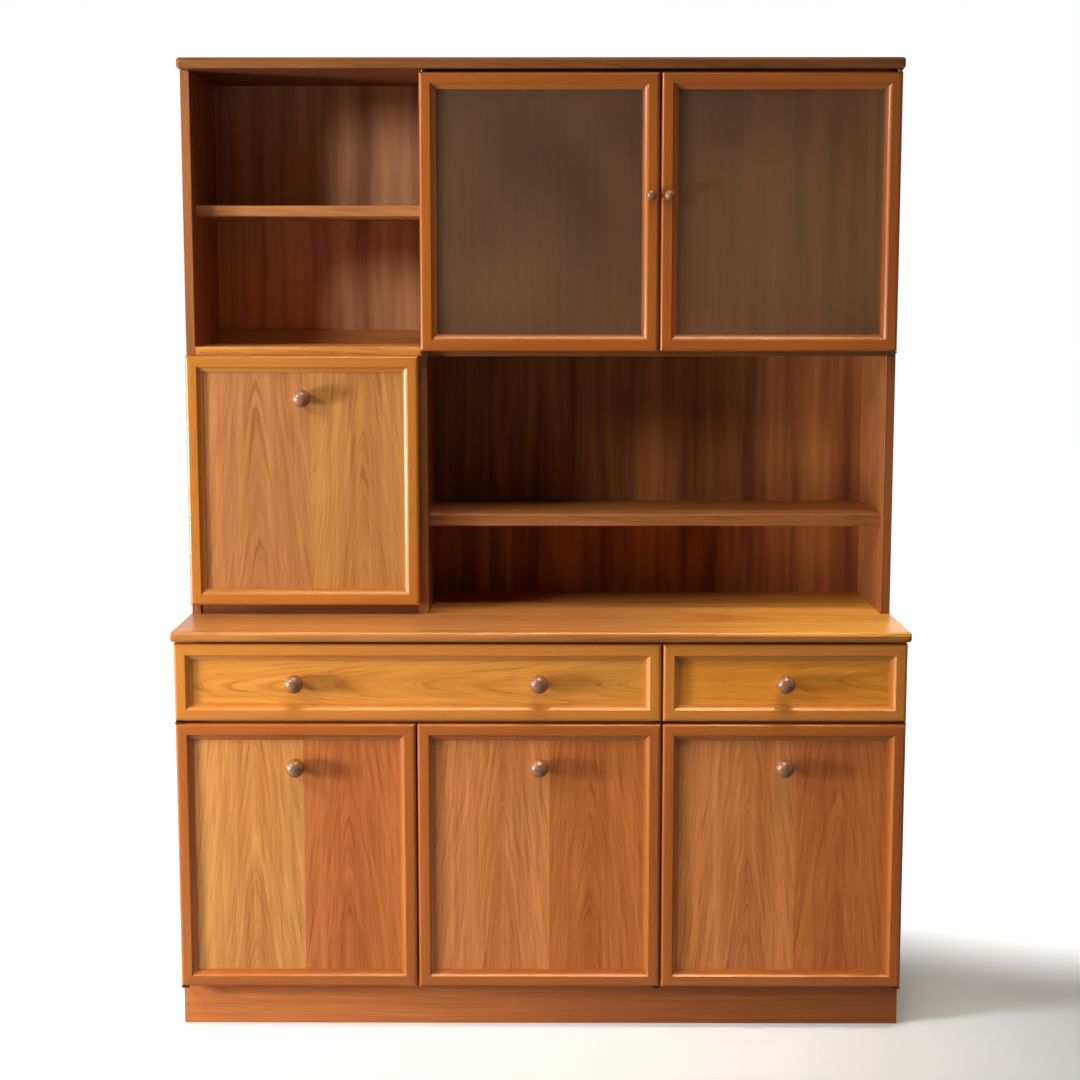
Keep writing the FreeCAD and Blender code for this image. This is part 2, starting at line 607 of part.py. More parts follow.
def hutch_carcass():
    """Every fixed piece of the hutch."""
    bay_shelf = hutch_shelf(-INNER_X, UPPER_DIVIDER_LEFT, BAY_SHELF_SETBACK, BAY_SHELF_BOTTOM,
                            BAY_SHELF_THICKNESS)
    open_shelf = hutch_shelf(LOWER_DIVIDER_RIGHT, INNER_X, OPEN_SHELF_SETBACK, OPEN_SHELF_BOTTOM,
                             OPEN_SHELF_THICKNESS)
    sides = {}
    for name, is_left in (("hutch_side_left", True), ("hutch_side_right", False)):
        board = cut_dowel_holes(side_board(is_left, HUTCH_FRONT_Y, BASE_HEIGHT, HUTCH_TOP_BOTTOM))
        sides[name] = [board.cut(housing(bay_shelf if is_left else open_shelf))]
    upper = soften_front(box(UPPER_DIVIDER_LEFT, UPPER_DIVIDER_RIGHT, HUTCH_FRONT_Y, BACK_Y,
                             MID_BOARD_TOP, HUTCH_TOP_BOTTOM), HUTCH_FRONT_Y)
    lower = soften_front(box(LOWER_DIVIDER_LEFT, LOWER_DIVIDER_RIGHT, HUTCH_FRONT_Y, BACK_Y,
                             BASE_HEIGHT, MID_BOARD_BOTTOM), HUTCH_FRONT_Y)
    mid = soften_front(box(-INNER_X, INNER_X, HUTCH_FRONT_Y, BACK_Y, MID_BOARD_BOTTOM,
                           MID_BOARD_TOP), HUTCH_FRONT_Y)
    floor = box(-INNER_X, LOWER_DIVIDER_LEFT, HUTCH_FRONT_Y + HUTCH_FLOOR_SETBACK, BACK_Y,
                BASE_HEIGHT, HUTCH_FLOOR_TOP)
    half = HALF_WIDTH + HUTCH_TOP_SIDE_OVERHANG
    front = HUTCH_FACE_Y - HUTCH_TOP_FRONT_OVERHANG
    top = round_top_edges(box(-half, half, front, REAR_Y, HUTCH_TOP_BOTTOM, TOTAL_HEIGHT), half,
                          front)
    rail = box(-INNER_X, UPPER_DIVIDER_LEFT, BACK_Y - BAY_RAIL_THICKNESS, BACK_Y, MID_BOARD_TOP,
               MID_BOARD_TOP + BAY_RAIL_HEIGHT)
    return {
        **sides,
        "hutch_divider_upper": [upper.cut(housing(bay_shelf))],
        "hutch_divider_lower": [lower.cut(housing(open_shelf))],
        "hutch_floor": [floor],
        "hutch_mid_board": [mid],
        "hutch_top": [top],
        "hutch_back": [back_sheet(BASE_HEIGHT, HUTCH_TOP_BOTTOM)],
        "hutch_shelf_left": [bay_shelf],
        "hutch_shelf_right": [open_shelf],
        "bay_back_rail": [rail],
        "hutch_dowels": dowels(),
    }


def glass_spans():
    """Left edge, right edge, pin line and knob line of each glass door."""
    left_edge = UPPER_DIVIDER_LEFT
    right_edge = HALF_WIDTH - GLASS_DOOR_SIDE_REVEAL
    half_gap = GLASS_COLUMN_GAP / 2
    meeting_left = RIGHT_LINE - half_gap
    meeting_right = RIGHT_LINE + half_gap
    return {
        "glass_door_left": (left_edge, meeting_left, left_edge + PIN_FROM_EDGE,
                            meeting_left - SMALL_KNOB_INSET),
        "glass_door_right": (meeting_right, right_edge, right_edge - PIN_FROM_EDGE,
                             meeting_right + SMALL_KNOB_INSET),
    }


def glass_doors():
    """Frame, pane, glazing beads and knob of each glass door."""
    nodes = {}
    lip = FRAME_WIDTH - PANEL_GROOVE
    bead_w = PANEL_RECESS + GLASS_SHEET + 2 * SHEET_CLEARANCE
    bead_outline = rectangle_outline(PANEL_GROOVE, bead_w, FRONT_THICKNESS - BEAD_CLEARANCE)
    for name, (x0, x1, pin_x, knob_x) in glass_spans().items():
        frame = mitred_frame(moulding_outline("glass"), FRAME_WIDTH, x0, x1, GLASS_BOTTOM,
                             GLASS_TOP, HUTCH_FACE_Y)
        inset = lip + SHEET_END_CLEARANCE
        pane_y = HUTCH_FACE_Y + PANEL_RECESS + SHEET_CLEARANCE
        pane = box(x0 + inset, x1 - inset, pane_y, pane_y + GLASS_SHEET, GLASS_BOTTOM + inset,
                   GLASS_TOP - inset)
        beads = mitred_frame(bead_outline, PANEL_GROOVE, x0 + lip, x1 - lip, GLASS_BOTTOM + lip,
                             GLASS_TOP - lip, HUTCH_FACE_Y)
        nodes[name + "_frame"] = bored_for_pins(frame, pin_x, HUTCH_FACE_Y, GLASS_BOTTOM, GLASS_TOP)
        nodes[name + "_pane"] = [pane]
        nodes[name + "_beads"] = beads
        nodes[name + "_knob"] = [knob(knob_x, SMALL_KNOB_HEIGHT, HUTCH_FACE_Y, SMALL_KNOB_DIAMETER,
                                      SMALL_KNOB_LENGTH, SMALL_KNOB_NECK_DIAMETER)]
    return nodes


def glass_door_pivots():
    """Plates under the hutch top and flanged plates on the mid board's edge."""
    plates = []
    for _, _, pin_x, _ in glass_spans().values():
        y = HUTCH_FACE_Y + PIN_FROM_FACE
        plate = box(pin_x - PLATE_HALF_WIDTH, pin_x + PLATE_HALF_WIDTH, y - PLATE_NOSE,
                    HUTCH_FRONT_Y, HUTCH_TOP_BOTTOM - PLATE, HUTCH_TOP_BOTTOM)
        pin = rod(pin_x, y, GLASS_TOP - PIN_INSERT, HUTCH_TOP_BOTTOM, PIN_RADIUS)
        plates.append(plate.fuse(pin).removeSplitter())
        leg = GLASS_BOTTOM - MID_BOARD_BOTTOM - PLATE_GAP
        plates.append(pivot_plate(pin_x, HUTCH_FACE_Y, GLASS_BOTTOM, 1, HUTCH_FRONT_Y, leg))
    return plates


# ---- drop-front flap ----------------------------------------------------------------------------
def flap_span():
    """Left, right, bottom and top of the flap."""
    return (-HALF_WIDTH + FRONT_REVEAL, LOWER_DIVIDER_LEFT + FLAP_SIDE_LAP,
            FLAP_AXIS_Z - FLAP_TOE, MID_BOARD_BOTTOM + FLAP_TOP_LAP)


def hinge_places():
    """The left ends of the two flap hinges."""
    x0, x1, _, _ = flap_span()
    return (x0 + HINGE_FROM_END, x1 - HINGE_FROM_END - HINGE_LENGTH)


def knuckle(x0, x1):
    """A hollow barrel round the flap's hinge axis."""
    outer = cross_rod(x0, x1, FLAP_AXIS_Y, FLAP_AXIS_Z, HINGE_BARREL_RADIUS)
    return outer.cut(cross_rod(x0, x1, FLAP_AXIS_Y, FLAP_AXIS_Z, HINGE_PIN_RADIUS + PIN_CLEARANCE))


def hinge_bore(x0):
    """The clearance round a hinge pin over a whole hinge."""
    return cross_rod(x0, x0 + HINGE_LENGTH, FLAP_AXIS_Y, FLAP_AXIS_Z, HINGE_PIN_RADIUS + PIN_CLEARANCE)


def flap_hinge_fixed():
    """Leaves on the hutch floor with their two end knuckles, and the pins."""
    solids = []
    third = HINGE_LENGTH / 3
    for x0 in hinge_places():
        x1 = x0 + HINGE_LENGTH
        leaf = box(x0, x1, HUTCH_FRONT_Y + HUTCH_FLOOR_SETBACK, FLAP_AXIS_Y + HINGE_LEAF_WIDTH,
                   HUTCH_FLOOR_TOP, HUTCH_FLOOR_TOP + HINGE_LEAF)
        for a, b in ((x0, x0 + third), (x1 - third, x1)):
            tongue = box(a, b, FLAP_AXIS_Y, HUTCH_FRONT_Y + HUTCH_FLOOR_SETBACK, HUTCH_FLOOR_TOP,
                         HUTCH_FLOOR_TOP + HINGE_LEAF)
            leaf = leaf.fuse([tongue, knuckle(a, b)])
        solids.append(leaf.cut(hinge_bore(x0)).removeSplitter())
        solids.append(cross_rod(x0, x1, FLAP_AXIS_Y, FLAP_AXIS_Z, HINGE_PIN_RADIUS))
    return solids


def flap_hinge_leaves():
    """Leaves on the flap's inner face with their middle knuckles."""
    inner_y = HUTCH_FACE_Y + FRONT_THICKNESS
    third = HINGE_LENGTH / 3
    leaves = []
    for x0 in hinge_places():
        a = x0 + third + HINGE_JOINT_GAP
        b = x0 + 2 * third - HINGE_JOINT_GAP
        leaf = box(x0, x0 + HINGE_LENGTH, inner_y, inner_y + HINGE_LEAF,
                   FLAP_AXIS_Z + HINGE_BARREL_RADIUS + HINGE_RELIEF, FLAP_AXIS_Z + HINGE_LEAF_WIDTH)
        tongue = box(a, b, inner_y, inner_y + HINGE_LEAF, FLAP_AXIS_Z,
                     FLAP_AXIS_Z + HINGE_LEAF_WIDTH)
        leaf = leaf.fuse([tongue, knuckle(a, b)]).cut(hinge_bore(x0))
        leaves.append(leaf.removeSplitter())
    return leaves


def flap():
    """Frame, panel, knob and hinge leaves of the drop-front flap."""
    x0, x1, z0, z1 = flap_span()
    frame, panel = panelled_front(x0, x1, z0, z1, HUTCH_FACE_Y)
    for hinge_x in hinge_places():
        relief = cross_rod(hinge_x - HINGE_JOINT_GAP, hinge_x + HINGE_LENGTH + HINGE_JOINT_GAP,
                           FLAP_AXIS_Y, FLAP_AXIS_Z, HINGE_BARREL_RADIUS + HINGE_RELIEF)
        frame = [member.cut(relief).Solids[0] for member in frame]
    return {
        "flap_frame": frame,
        "flap_panel": [panel],
        "flap_knob": [large_knob((x0 + x1) / 2, z1 - KNOB_DROP, HUTCH_FACE_Y)],
        "flap_hinge_leaves": flap_hinge_leaves(),
    }


# ---- catches ------------------------------------------------------------------------------------
def catch(edge_x, side, face_y, ceiling):
    """A magnetic catch under a board, near a closing edge; side is +1 to the right of that edge."""
    near = edge_x + side * CATCH_FROM_EDGE
    x0, x1 = sorted((near, near + side * CATCH_WIDTH))
    y0 = face_y + FRONT_THICKNESS + CATCH_GAP
    return box(x0, x1, y0, y0 + CATCH_DEPTH, ceiling - CATCH_HEIGHT, ceiling)


def catches():
    """Catches for the three base doors, the two glass doors and the flap."""
    doors = door_spans()
    glass = glass_spans()
    x0, x1, _, _ = flap_span()
    return [
        catch(doors["door_left"][1], -1, FACE_Y, RAIL_BOTTOM),
        catch(doors["door_middle"][0], 1, FACE_Y, RAIL_BOTTOM),
        catch(PARTITION_RIGHT, 1, FACE_Y, RAIL_BOTTOM),
        catch(glass["glass_door_left"][1], -1, HUTCH_FACE_Y, HUTCH_TOP_BOTTOM),
        catch(glass["glass_door_right"][0], 1, HUTCH_FACE_Y, HUTCH_TOP_BOTTOM),
        catch((x0 + x1) / 2, 1, HUTCH_FACE_Y, MID_BOARD_BOTTOM),
    ]


# ---- the whole object ---------------------------------------------------------------------------
def all_nodes():
    """Every node's name with its list of solids."""
    nodes = {}
    for part in (base_cupboard(), drawers(), base_doors(), hutch_carcass(), glass_doors(), flap()):
        nodes.update(part)
    nodes["base_door_pivots"] = base_door_pivots()
    nodes["glass_door_pivots"] = glass_door_pivots()
    nodes["flap_hinge_fixed"] = flap_hinge_fixed()
    nodes["catches"] = catches()
    return nodes


def export(nodes):
    """Writes one STEP file per node."""
    os.makedirs("parts", exist_ok=True)
    for name, solids in nodes.items():
        shape = solids[0] if len(solids) == 1 else Part.makeCompound(solids)
        shape.exportStep("parts/" + name + ".step")


export(all_nodes())
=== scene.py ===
"""Dresses a dresser with hutch and sets it on a pale studio floor.

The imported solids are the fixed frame.  Most of them stay and get a finish; the moulded frames, the
turned knobs and the two top boards are made again as finer surfaces of the same size.  Lengths are
in metres, +X is to the viewer's right, -Y to the front and +Z up.
"""
from __future__ import annotations

import json
import logging
import math
from dataclasses import dataclass, replace
from enum import Enum
from functools import reduce
from typing import Iterable, Sequence

import bmesh
import bpy
import numpy as np
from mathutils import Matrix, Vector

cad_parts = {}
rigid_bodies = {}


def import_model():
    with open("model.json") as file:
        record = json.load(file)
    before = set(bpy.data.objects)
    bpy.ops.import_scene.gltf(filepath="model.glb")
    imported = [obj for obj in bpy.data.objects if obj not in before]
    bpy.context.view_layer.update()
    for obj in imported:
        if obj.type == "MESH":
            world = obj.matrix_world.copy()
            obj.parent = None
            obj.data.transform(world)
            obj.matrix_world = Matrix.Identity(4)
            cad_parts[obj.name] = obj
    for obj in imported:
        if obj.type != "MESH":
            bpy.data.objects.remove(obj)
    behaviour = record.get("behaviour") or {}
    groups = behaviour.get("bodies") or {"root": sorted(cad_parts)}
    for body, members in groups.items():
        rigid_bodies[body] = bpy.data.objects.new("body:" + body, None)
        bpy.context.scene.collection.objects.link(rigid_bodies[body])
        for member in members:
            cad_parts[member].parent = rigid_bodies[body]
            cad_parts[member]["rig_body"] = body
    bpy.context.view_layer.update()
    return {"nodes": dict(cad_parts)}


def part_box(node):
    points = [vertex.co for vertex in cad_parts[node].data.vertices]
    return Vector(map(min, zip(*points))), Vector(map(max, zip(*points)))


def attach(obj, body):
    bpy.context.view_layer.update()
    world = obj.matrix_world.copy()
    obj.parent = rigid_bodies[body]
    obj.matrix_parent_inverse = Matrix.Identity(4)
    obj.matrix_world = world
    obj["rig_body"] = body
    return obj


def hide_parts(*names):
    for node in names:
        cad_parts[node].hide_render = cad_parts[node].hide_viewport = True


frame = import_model()

LOG = logging.getLogger("dresser")
MM = 0.001
RIGHT_ANGLE = math.pi / 2
STRIP_MAP = "strip"
Colour = tuple[float, float, float]
Point = Sequence[float]
Material = bpy.types.Material
Object = bpy.types.Object


def tint(red: int, green: int, blue: int) -> Colour:
    """Turns a display colour into a linear one.

    Each channel c in 0..1 becomes c / 12.92 under the toe and ((c + 0.055) / 1.055) ^ 2.4 over it.

    Args:
        red: Red, 0 to 255.
        green: Green, 0 to 255.
        blue: Blue, 0 to 255.

    Returns:
        The linear colour.
    """
    return tuple(c / 12.92 if c <= 0.04045 else ((c + 0.055) / 1.055) ** 2.4
                 for c in (red / 255, green / 255, blue / 255))


# ---- shader maths ----
class Field:
    """A node's output, with the arithmetic that is used on it."""

    def __init__(self, recipe: Recipe, socket: bpy.types.NodeSocket) -> None:
        """Wraps a socket of a recipe's tree."""
        self.recipe = recipe
        self.socket = socket

    def maths(self, operation: str, *others: Value, swap: bool = False) -> Field:
        """Adds one Math node.

        Args:
            operation: Blender's name of the operation.
            others: What stands beside this field.
            swap: Whether this field stands second.

        Returns:
            The node's output.
        """
        values = [*others, self] if swap else [self, *others]
        return self.recipe.add("Math", dict(enumerate(values)), operation=operation)

    def __add__(self, other: Value) -> Field:
        """Sum."""
        return self.maths("ADD", other)

    __radd__ = __add__

    def __sub__(self, other: Value) -> Field:
        """Difference."""
        return self.maths("SUBTRACT", other)

    def __rsub__(self, other: Value) -> Field:
        """Difference with the number first."""
        return self.maths("SUBTRACT", other, swap=True)

    def __mul__(self, other: Value) -> Field:
        """Product."""
        return self.maths("MULTIPLY", other)

    __rmul__ = __mul__

    def __truediv__(self, other: Value) -> Field:
        """Quotient."""
        return self.maths("DIVIDE", other)

    def __gt__(self, other: Value) -> Field:
        """1 where this field is the greater, else 0."""
        return self.maths("GREATER_THAN", other)

    def __abs__(self) -> Field:
        """Size without sign."""
        return self.maths("ABSOLUTE")

    def root(self) -> Field:
        """Square root."""
        return self.maths("SQRT")

    def most(self, other: Value) -> Field:
        """The greater of two."""
        return self.maths("MAXIMUM", other)

    def held(self) -> Field:
        """Kept within 0 and 1."""
        return self.most(0.0).maths("MINIMUM", 1.0)

    def rise(self, low: float, high: float) -> Field:
        """A smooth step from 0 at low to 1 at high.

        Args:
            low: Where it leaves 0.
            high: Where it reaches 1; it may be the smaller, and then the step falls.

        Returns:
            The step.
        """
        if high < low:
            return 1 - self.rise(high, low)
        return self.recipe.add("MapRange", {"Value": self, "From Min": low, "From Max": high},
                               "Result", interpolation_type="SMOOTHSTEP")

    def between(self, start: float, end: float) -> Field:
        """A value that is start where this field is 0 and end where it is 1."""
        return start + self * (end - start)


Value = Field | float | Sequence[float]


class Recipe:
    """A material or a world, and the nodes that make it."""

    def __init__(self, owner: Material | bpy.types.World) -> None:
        """Starts with an empty tree."""
        self.owner = owner
        owner.use_nodes = True
        self.tree = owner.node_tree
        self.tree.nodes.clear()

    @classmethod
    def named(cls, name: str) -> Recipe:
        """The recipe of a new material."""
        return cls(bpy.data.materials.new(name))

    def node(self, kind: str, inputs: dict[object, Value], **settings: object) -> bpy.types.Node:
        """Adds one node.

        Args:
            kind: Blender's type of node, without its first word ShaderNode.
            inputs: For each socket, by name or place, a number, a colour or what feeds it.
            settings: What is set on the node before its sockets, such as its operation.

        Returns:
            The node.
        """
        node = self.tree.nodes.new("ShaderNode" + kind)
        for key, value in settings.items():
            setattr(node, key, value)
        for key, value in inputs.items():
            socket = node.inputs[key]
            if isinstance(value, Field):
                self.tree.links.new(value.socket, socket)
            elif isinstance(value, tuple) and socket.type == "RGBA":
                socket.default_value = (*value, 1.0)
            else:
                socket.default_value = value
        return node

    def add(self, kind: str, inputs: dict[object, Value] | None = None,
            output: int | str = 0, **settings: object) -> Field:
        """Adds one node, as node does, and wraps one of its outputs."""
        return Field(self, self.node(kind, inputs or {}, **settings).outputs[output])

    def apart(self, vector: Field) -> tuple[Field, Field, Field]:
        """The three coordinates of a vector."""
        outputs = self.node("SeparateXYZ", {"Vector": vector}).outputs
        return Field(self, outputs[0]), Field(self, outputs[1]), Field(self, outputs[2])

    def place(self, system: str = "Object") -> tuple[Field, Field, Field]:
        """The point on the object, in metres, as three fields."""
        return self.apart(self.add("TexCoord", output=system))

    def ray(self, *kinds: str) -> Field:
        """1 for rays of any of the kinds, such as Camera, else 0."""
        path = self.node("LightPath", {}).outputs
        return reduce(Field.most, (Field(self, path[f"Is {kind} Ray"]) for kind in kinds))

    def noise(self, along: Value, across: Value, third: Value = 0.0, detail: float = 2.0,
              rough: float = 0.5) -> Field:
        """Smooth noise about 0.5 on three coordinates, one cell for each unit.

        Args:
            along: First coordinate.
            across: Second coordinate.
            third: Third coordinate.
            detail: Octaves of finer noise.
            rough: How strong the finer noise is.

        Returns:
            The noise.
        """
        point = self.add("CombineXYZ", {0: along, 1: across, 2: third})
        return self.add("TexNoise", {"Vector": point, "Scale": 1.0, "Detail": detail,
                                     "Roughness": rough}, "Fac")

    def blend(self, first: Value, second: Value, share: Value) -> Field:
        """Goes from the first colour to the second as share goes from 0 to 1."""
        return self.add("Mix", {0: share, 6: first, 7: second}, 2, data_type="RGBA")

    def dim(self, colour: Value, level: Field) -> Field:
        """A colour times a level."""
        grey = self.add("CombineXYZ", {0: level, 1: level, 2: level})
        return self.add("Mix", {0: 1.0, 6: colour, 7: grey}, 2, data_type="RGBA",
                        blend_type="MULTIPLY")

    def finish(self, colour: Value, roughness: Value, sheen: float = 0.5,
               relief: Field | None = None, depth: float = 0.0, **constants: float) -> Material:
        """Ends the material in one Principled shader.

        Args:
            colour: The base colour.
            roughness: The roughness.
            sheen: The strength of the gloss; 0.5 is plain.
            relief: A height in 0..1, or nothing.
            depth: How far that height stands out, in metres.
            constants: Further sockets of the shader.

        Returns:
            The material.
        """
        sockets = {"Base Color": colour, "Roughness": roughness, "Specular IOR Level": sheen,
                   **constants}
        if relief is not None:
            sockets["Normal"] = self.add("Bump", {"Strength": 1.0, "Distance": depth,
                                                  "Height": relief})
        self.node("OutputMaterial", {"Surface": self.add("BsdfPrincipled", sockets)})
        return self.owner


# ---- finishes ----
class Grain(Enum):
    """Which way the wood's fibres run."""

    X = "x"
    Y = "y"
    Z = "z"
    LEVEL = "level"
    UPRIGHT = "upright front"
    LYING = "lying front"
    STRIP = "strip"

    def axes(self, recipe: Recipe) -> tuple[Field, Field]:
        """The coordinate along the fibres, and one across them that changes on every other face.

        A strip of a frame has them in a map of its own.

        Args:
            recipe: The material's recipe.

        Returns:
            Along and across, in metres.
        """
        if self is Grain.STRIP:
            return recipe.apart(recipe.add("UVMap", uv_map=STRIP_MAP))[:2]
        x, y, z = recipe.place()
        return {Grain.X: (x, y + z), Grain.Y: (y, x + z), Grain.Z: (z, x + y),
                Grain.LEVEL: (x + y, z), Grain.UPRIGHT: (z, x), Grain.LYING: (x, z)}[self]


@dataclass(frozen=True)
class Leaf:
    """One veneer leaf: where the middle of its arches runs, and its colours."""

    middle: float
    light: Colour
    dark: Colour

    def over(self, recipe: Recipe, light: Value, dark: Value,
             share: Field) -> tuple[Field, Field]:
        """Lays this leaf's two colours over two others, as far as share says."""
        return recipe.blend(light, self.light, share), recipe.blend(dark, self.dark, share)


@dataclass(frozen=True)
class Finish:
    """A named finish; each kind mixes its own material."""

    name: str

    def dress(self) -> Material:
        """Builds the material."""
        return self.mix(Recipe.named(self.name))

    def mix(self, recipe: Recipe) -> Material:
        """Mixes the material."""
        raise NotImplementedError


@dataclass(frozen=True)
class Veneer(Finish):
    """Lacquered teak veneer whose growth layers are cut to arches.

    The layer that shows at a point t across and s along is sqrt(t^2 + h^2) + taper * s, where h is
    how far the cut lies from the heart.  Noise along that line gives broad bands and fine lines,
    which come and go in patches; other noise bends the layers, frays them and adds streaks and
    pores along the fibres.  The crown in the middle of a leaf is the darker.  A fade goes over to
    another leaf's colours along the fibres, which paints pools of light and falloffs of shade on
    some boards; below a given height the wood takes another leaf's colours, which is the base
    top's lipping and painted shade on the hutch top's underside.
    """

    grain: Grain
    leaves: tuple[Leaf, ...]
    seams: tuple[float, ...] = ()
    spacing: float = 10 * MM
    heart: float = 10 * MM
    taper: float = 0.13
    waver: float = 15 * MM
    roll: float = 7 * MM
    fray: float = 2.2 * MM
    crown_width: float = 70 * MM
    bands: float = 1.25
    lines: float = 1.25
    stripes: float = 1.3
    crown: float = 0.2
    seed: float = 0.0
    roughness: float = 0.38
    sheen: float = 0.3
    fade: tuple[Leaf, float, float] | None = None
    lip: tuple[Leaf, float] | None = None

    def mix(self, recipe: Recipe) -> Material:
        """Mixes it."""
        along, across = self.grain.axes(recipe)
        middle, light, dark, shift = self.lay_leaves(recipe, along, across)
        bend = recipe.noise(along * 5, across * 11, shift)
        roll = recipe.noise(along * 9, across * 22, shift + 8.0)
        fray = recipe.noise(along * 60, across * 260, shift, 2.0, 0.6)
        t = across - middle + (bend - 0.5) * self.waver
        layer = ((t * t + self.heart ** 2).root() + along * self.taper
                 + (roll - 0.5) * self.roll + (fray - 0.5) * self.fray) / self.spacing
        band = recipe.noise(layer, along * 2, shift, 2.0, 0.45)
        line = recipe.noise(layer * 3.4, along * 7, shift + 2.0)
        patch = recipe.noise(along * 10, across * 34, shift + 9.0).rise(0.34, 0.62)
        streak = recipe.noise(along * 5, across * 230, shift, 3.0, 0.6)
        stripe = recipe.noise(along * 1.6, across * 62, shift + 5.0, 3.0, 0.55)
        pores = recipe.noise(along * 26, across * 1100, shift, 2.0, 0.6).rise(0.55, 0.72)
        arch = (band - 0.5) * self.bands + (line.rise(0.46, 0.72) - 0.3) * self.lines * 0.5
        shade = arch * patch.between(0.25, 1.0) + (streak - 0.5) * 0.7
        shade = (shade + (stripe - 0.5) * self.stripes
                 + abs(t).rise(self.crown_width, 10 * MM) * self.crown)
        colour = recipe.dim(recipe.blend(light, dark, (shade + 0.36).held()), 1 - pores * 0.14)
        return recipe.finish(colour, self.roughness + (streak - 0.5) * 0.12 + pores * 0.08,
                             self.sheen, 1 - pores * 0.6 - line * 0.3, 0.05 * MM)

    def lay_leaves(self, recipe: Recipe, along: Field,
                   across: Field) -> tuple[Value, Value, Value, Value]:
        """Picks the leaf under a point.

        Args:
            recipe: The material's recipe.
            along: The coordinate along the fibres.
            across: The one across them.

        Returns:
            The middle of the leaf's arches, its light and dark colours, and its place in the noise.
        """
        first = self.leaves[0]
        middle, light, dark, shift = first.middle, first.light, first.dark, self.seed
        for seam, leaf in zip(self.seams, self.leaves[1:]):
            side = across > seam
            middle = side * (leaf.middle - first.middle) + middle
            light, dark = leaf.over(recipe, light, dark, side)
            shift = side * 3.7 + shift
        # the fade paints pools of light and falloffs of shade along the fibres
        if self.fade is not None:
            end, start, stop = self.fade
            light, dark = end.over(recipe, light, dark, along.rise(start, stop))
        # the lip gives the base top its lipping and paints shade on the hutch top's underside
        if self.lip is not None:
            edge, height = self.lip
            below = 1 - (recipe.place()[2] > height)
            light, dark = edge.over(recipe, light, dark, below)
        return middle, light, dark, shift

    def cover(self, node: str, *leaves: Leaf, **changes: object) -> None:
        """Lays the veneer on a packed board, with other leaves or settings where they are given."""
        changes["leaves"] = leaves or self.leaves
        paint(replace(self, name=node + " veneer", **changes).dress(), node)


@dataclass(frozen=True)
class SolidWood(Finish):
    """Straight-grained wood: streaks along the fibres, fine pores, and a colour for each strip."""

    grain: Grain
    light: Colour
    dark: Colour
    roughness: float = 0.36
    sheen: float = 0.3
    seed: float = 0.0

    def mix(self, recipe: Recipe) -> Material:
        """Mixes it."""
        along, across = self.grain.axes(recipe)
        drift = recipe.noise(along * 7, across * 14, self.seed)
        bent = across + (drift - 0.5) * (6 * MM)
        streak = recipe.noise(along * 4, bent * 300, self.seed, 3.0, 0.6)
        wide = recipe.noise(along * 2.4, bent * 48, self.seed + 3)
        pores = recipe.noise(along * 26, across * 1300, self.seed, 2.0, 0.6).rise(0.56, 0.72)
        shade = (streak - 0.5) * 0.8 + (wide - 0.5) * 0.7 + 0.42
        colour = recipe.dim(recipe.blend(self.light, self.dark, shade.held()), 1 - pores * 0.12)
        return recipe.finish(colour, self.roughness + (streak - 0.5) * 0.1, self.sheen,
                             1 - pores * 0.6, 0.05 * MM)


@dataclass(frozen=True)
class TurnedWood(Finish):
    """Turned teak: rings and end grain on the face, fibres along the axis on the flanks."""

    light: Colour
    dark: Colour

    def mix(self, recipe: Recipe) -> Material:
        """Mixes it."""
        x, y, z = recipe.place()
        rings = recipe.noise(y * 12, x * 420, z * 420, 2.0, 0.6)
        speck = recipe.noise(y * 60, x * 1900, z * 1900, 2.0, 0.6).rise(0.56, 0.72)
        wide = recipe.noise(y * 10, x * 60, z * 60)
        shade = (rings - 0.5) * 0.9 + (wide - 0.5) * 0.8 + 0.4
        colour = recipe.dim(recipe.blend(self.light, self.dark, shade.held()), 1 - speck * 0.2)
        return recipe.finish(colour, 0.26 + (rings - 0.5) * 0.1, 0.7, 1 - speck * 0.6, 0.04 * MM)


@dataclass(frozen=True)
class BackSheet(Finish):
    """A thin back: veneered in its front half, raw board in its rear half.

    Left of the edge its leaves take another, paler leaf's colours where one is given: painted fill
    light and sheen on the hutch's back in the bay.
    """

    node: str
    leaf: Leaf
    left: Leaf | None = None
    edge: float = 0.0
    leaf_width: float = 0.31
    raw_light: Colour = tint(186, 146, 100)
    raw_dark: Colour = tint(150, 110, 70)

    def mix(self, recipe: Recipe) -> Material:
        """Mixes it."""
        x, y, z = recipe.place()
        leaf = (x / self.leaf_width + 0.35).maths("FLOOR")
        pick = recipe.add("TexWhiteNoise", {"W": leaf + 0.5}, "Value", noise_dimensions="1D")
        drift = recipe.noise(z * 4, x * 10, leaf)
        bent = x + (drift - 0.5) * (16 * MM)
        streak = recipe.noise(z * 3, bent * 110, leaf, 3.0, 0.6)
        wide = recipe.noise(z * 1.6, bent * 24, leaf)
        fibre = recipe.noise(z * 26, x * 900, leaf)
        shade = (streak - 0.5) * 0.4 + (wide - 0.5) * 1.9 + pick * 0.34 + 0.26
        light, dark = self.leaf.light, self.leaf.dark
        # painted light: left of the edge the back takes the paler leaf
        if self.left is not None:
            light, dark = self.leaf.over(recipe, self.left.light, self.left.dark, x > self.edge)
        teak = recipe.blend(light, dark, shade.held())
        raw = recipe.noise(z * 40, x * 160, 9.0, 3.0, 0.65)
        board = recipe.blend(self.raw_light, self.raw_dark, raw.rise(0.3, 0.75))
        low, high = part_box(self.node)
        behind = y > (low[1] + high[1]) / 2
        colour = recipe.dim(recipe.blend(teak, board, behind), 1 - fibre.rise(0.56, 0.72) * 0.14)
        return recipe.finish(colour, behind.between(0.5, 0.75), 0.18, fibre, 0.05 * MM)


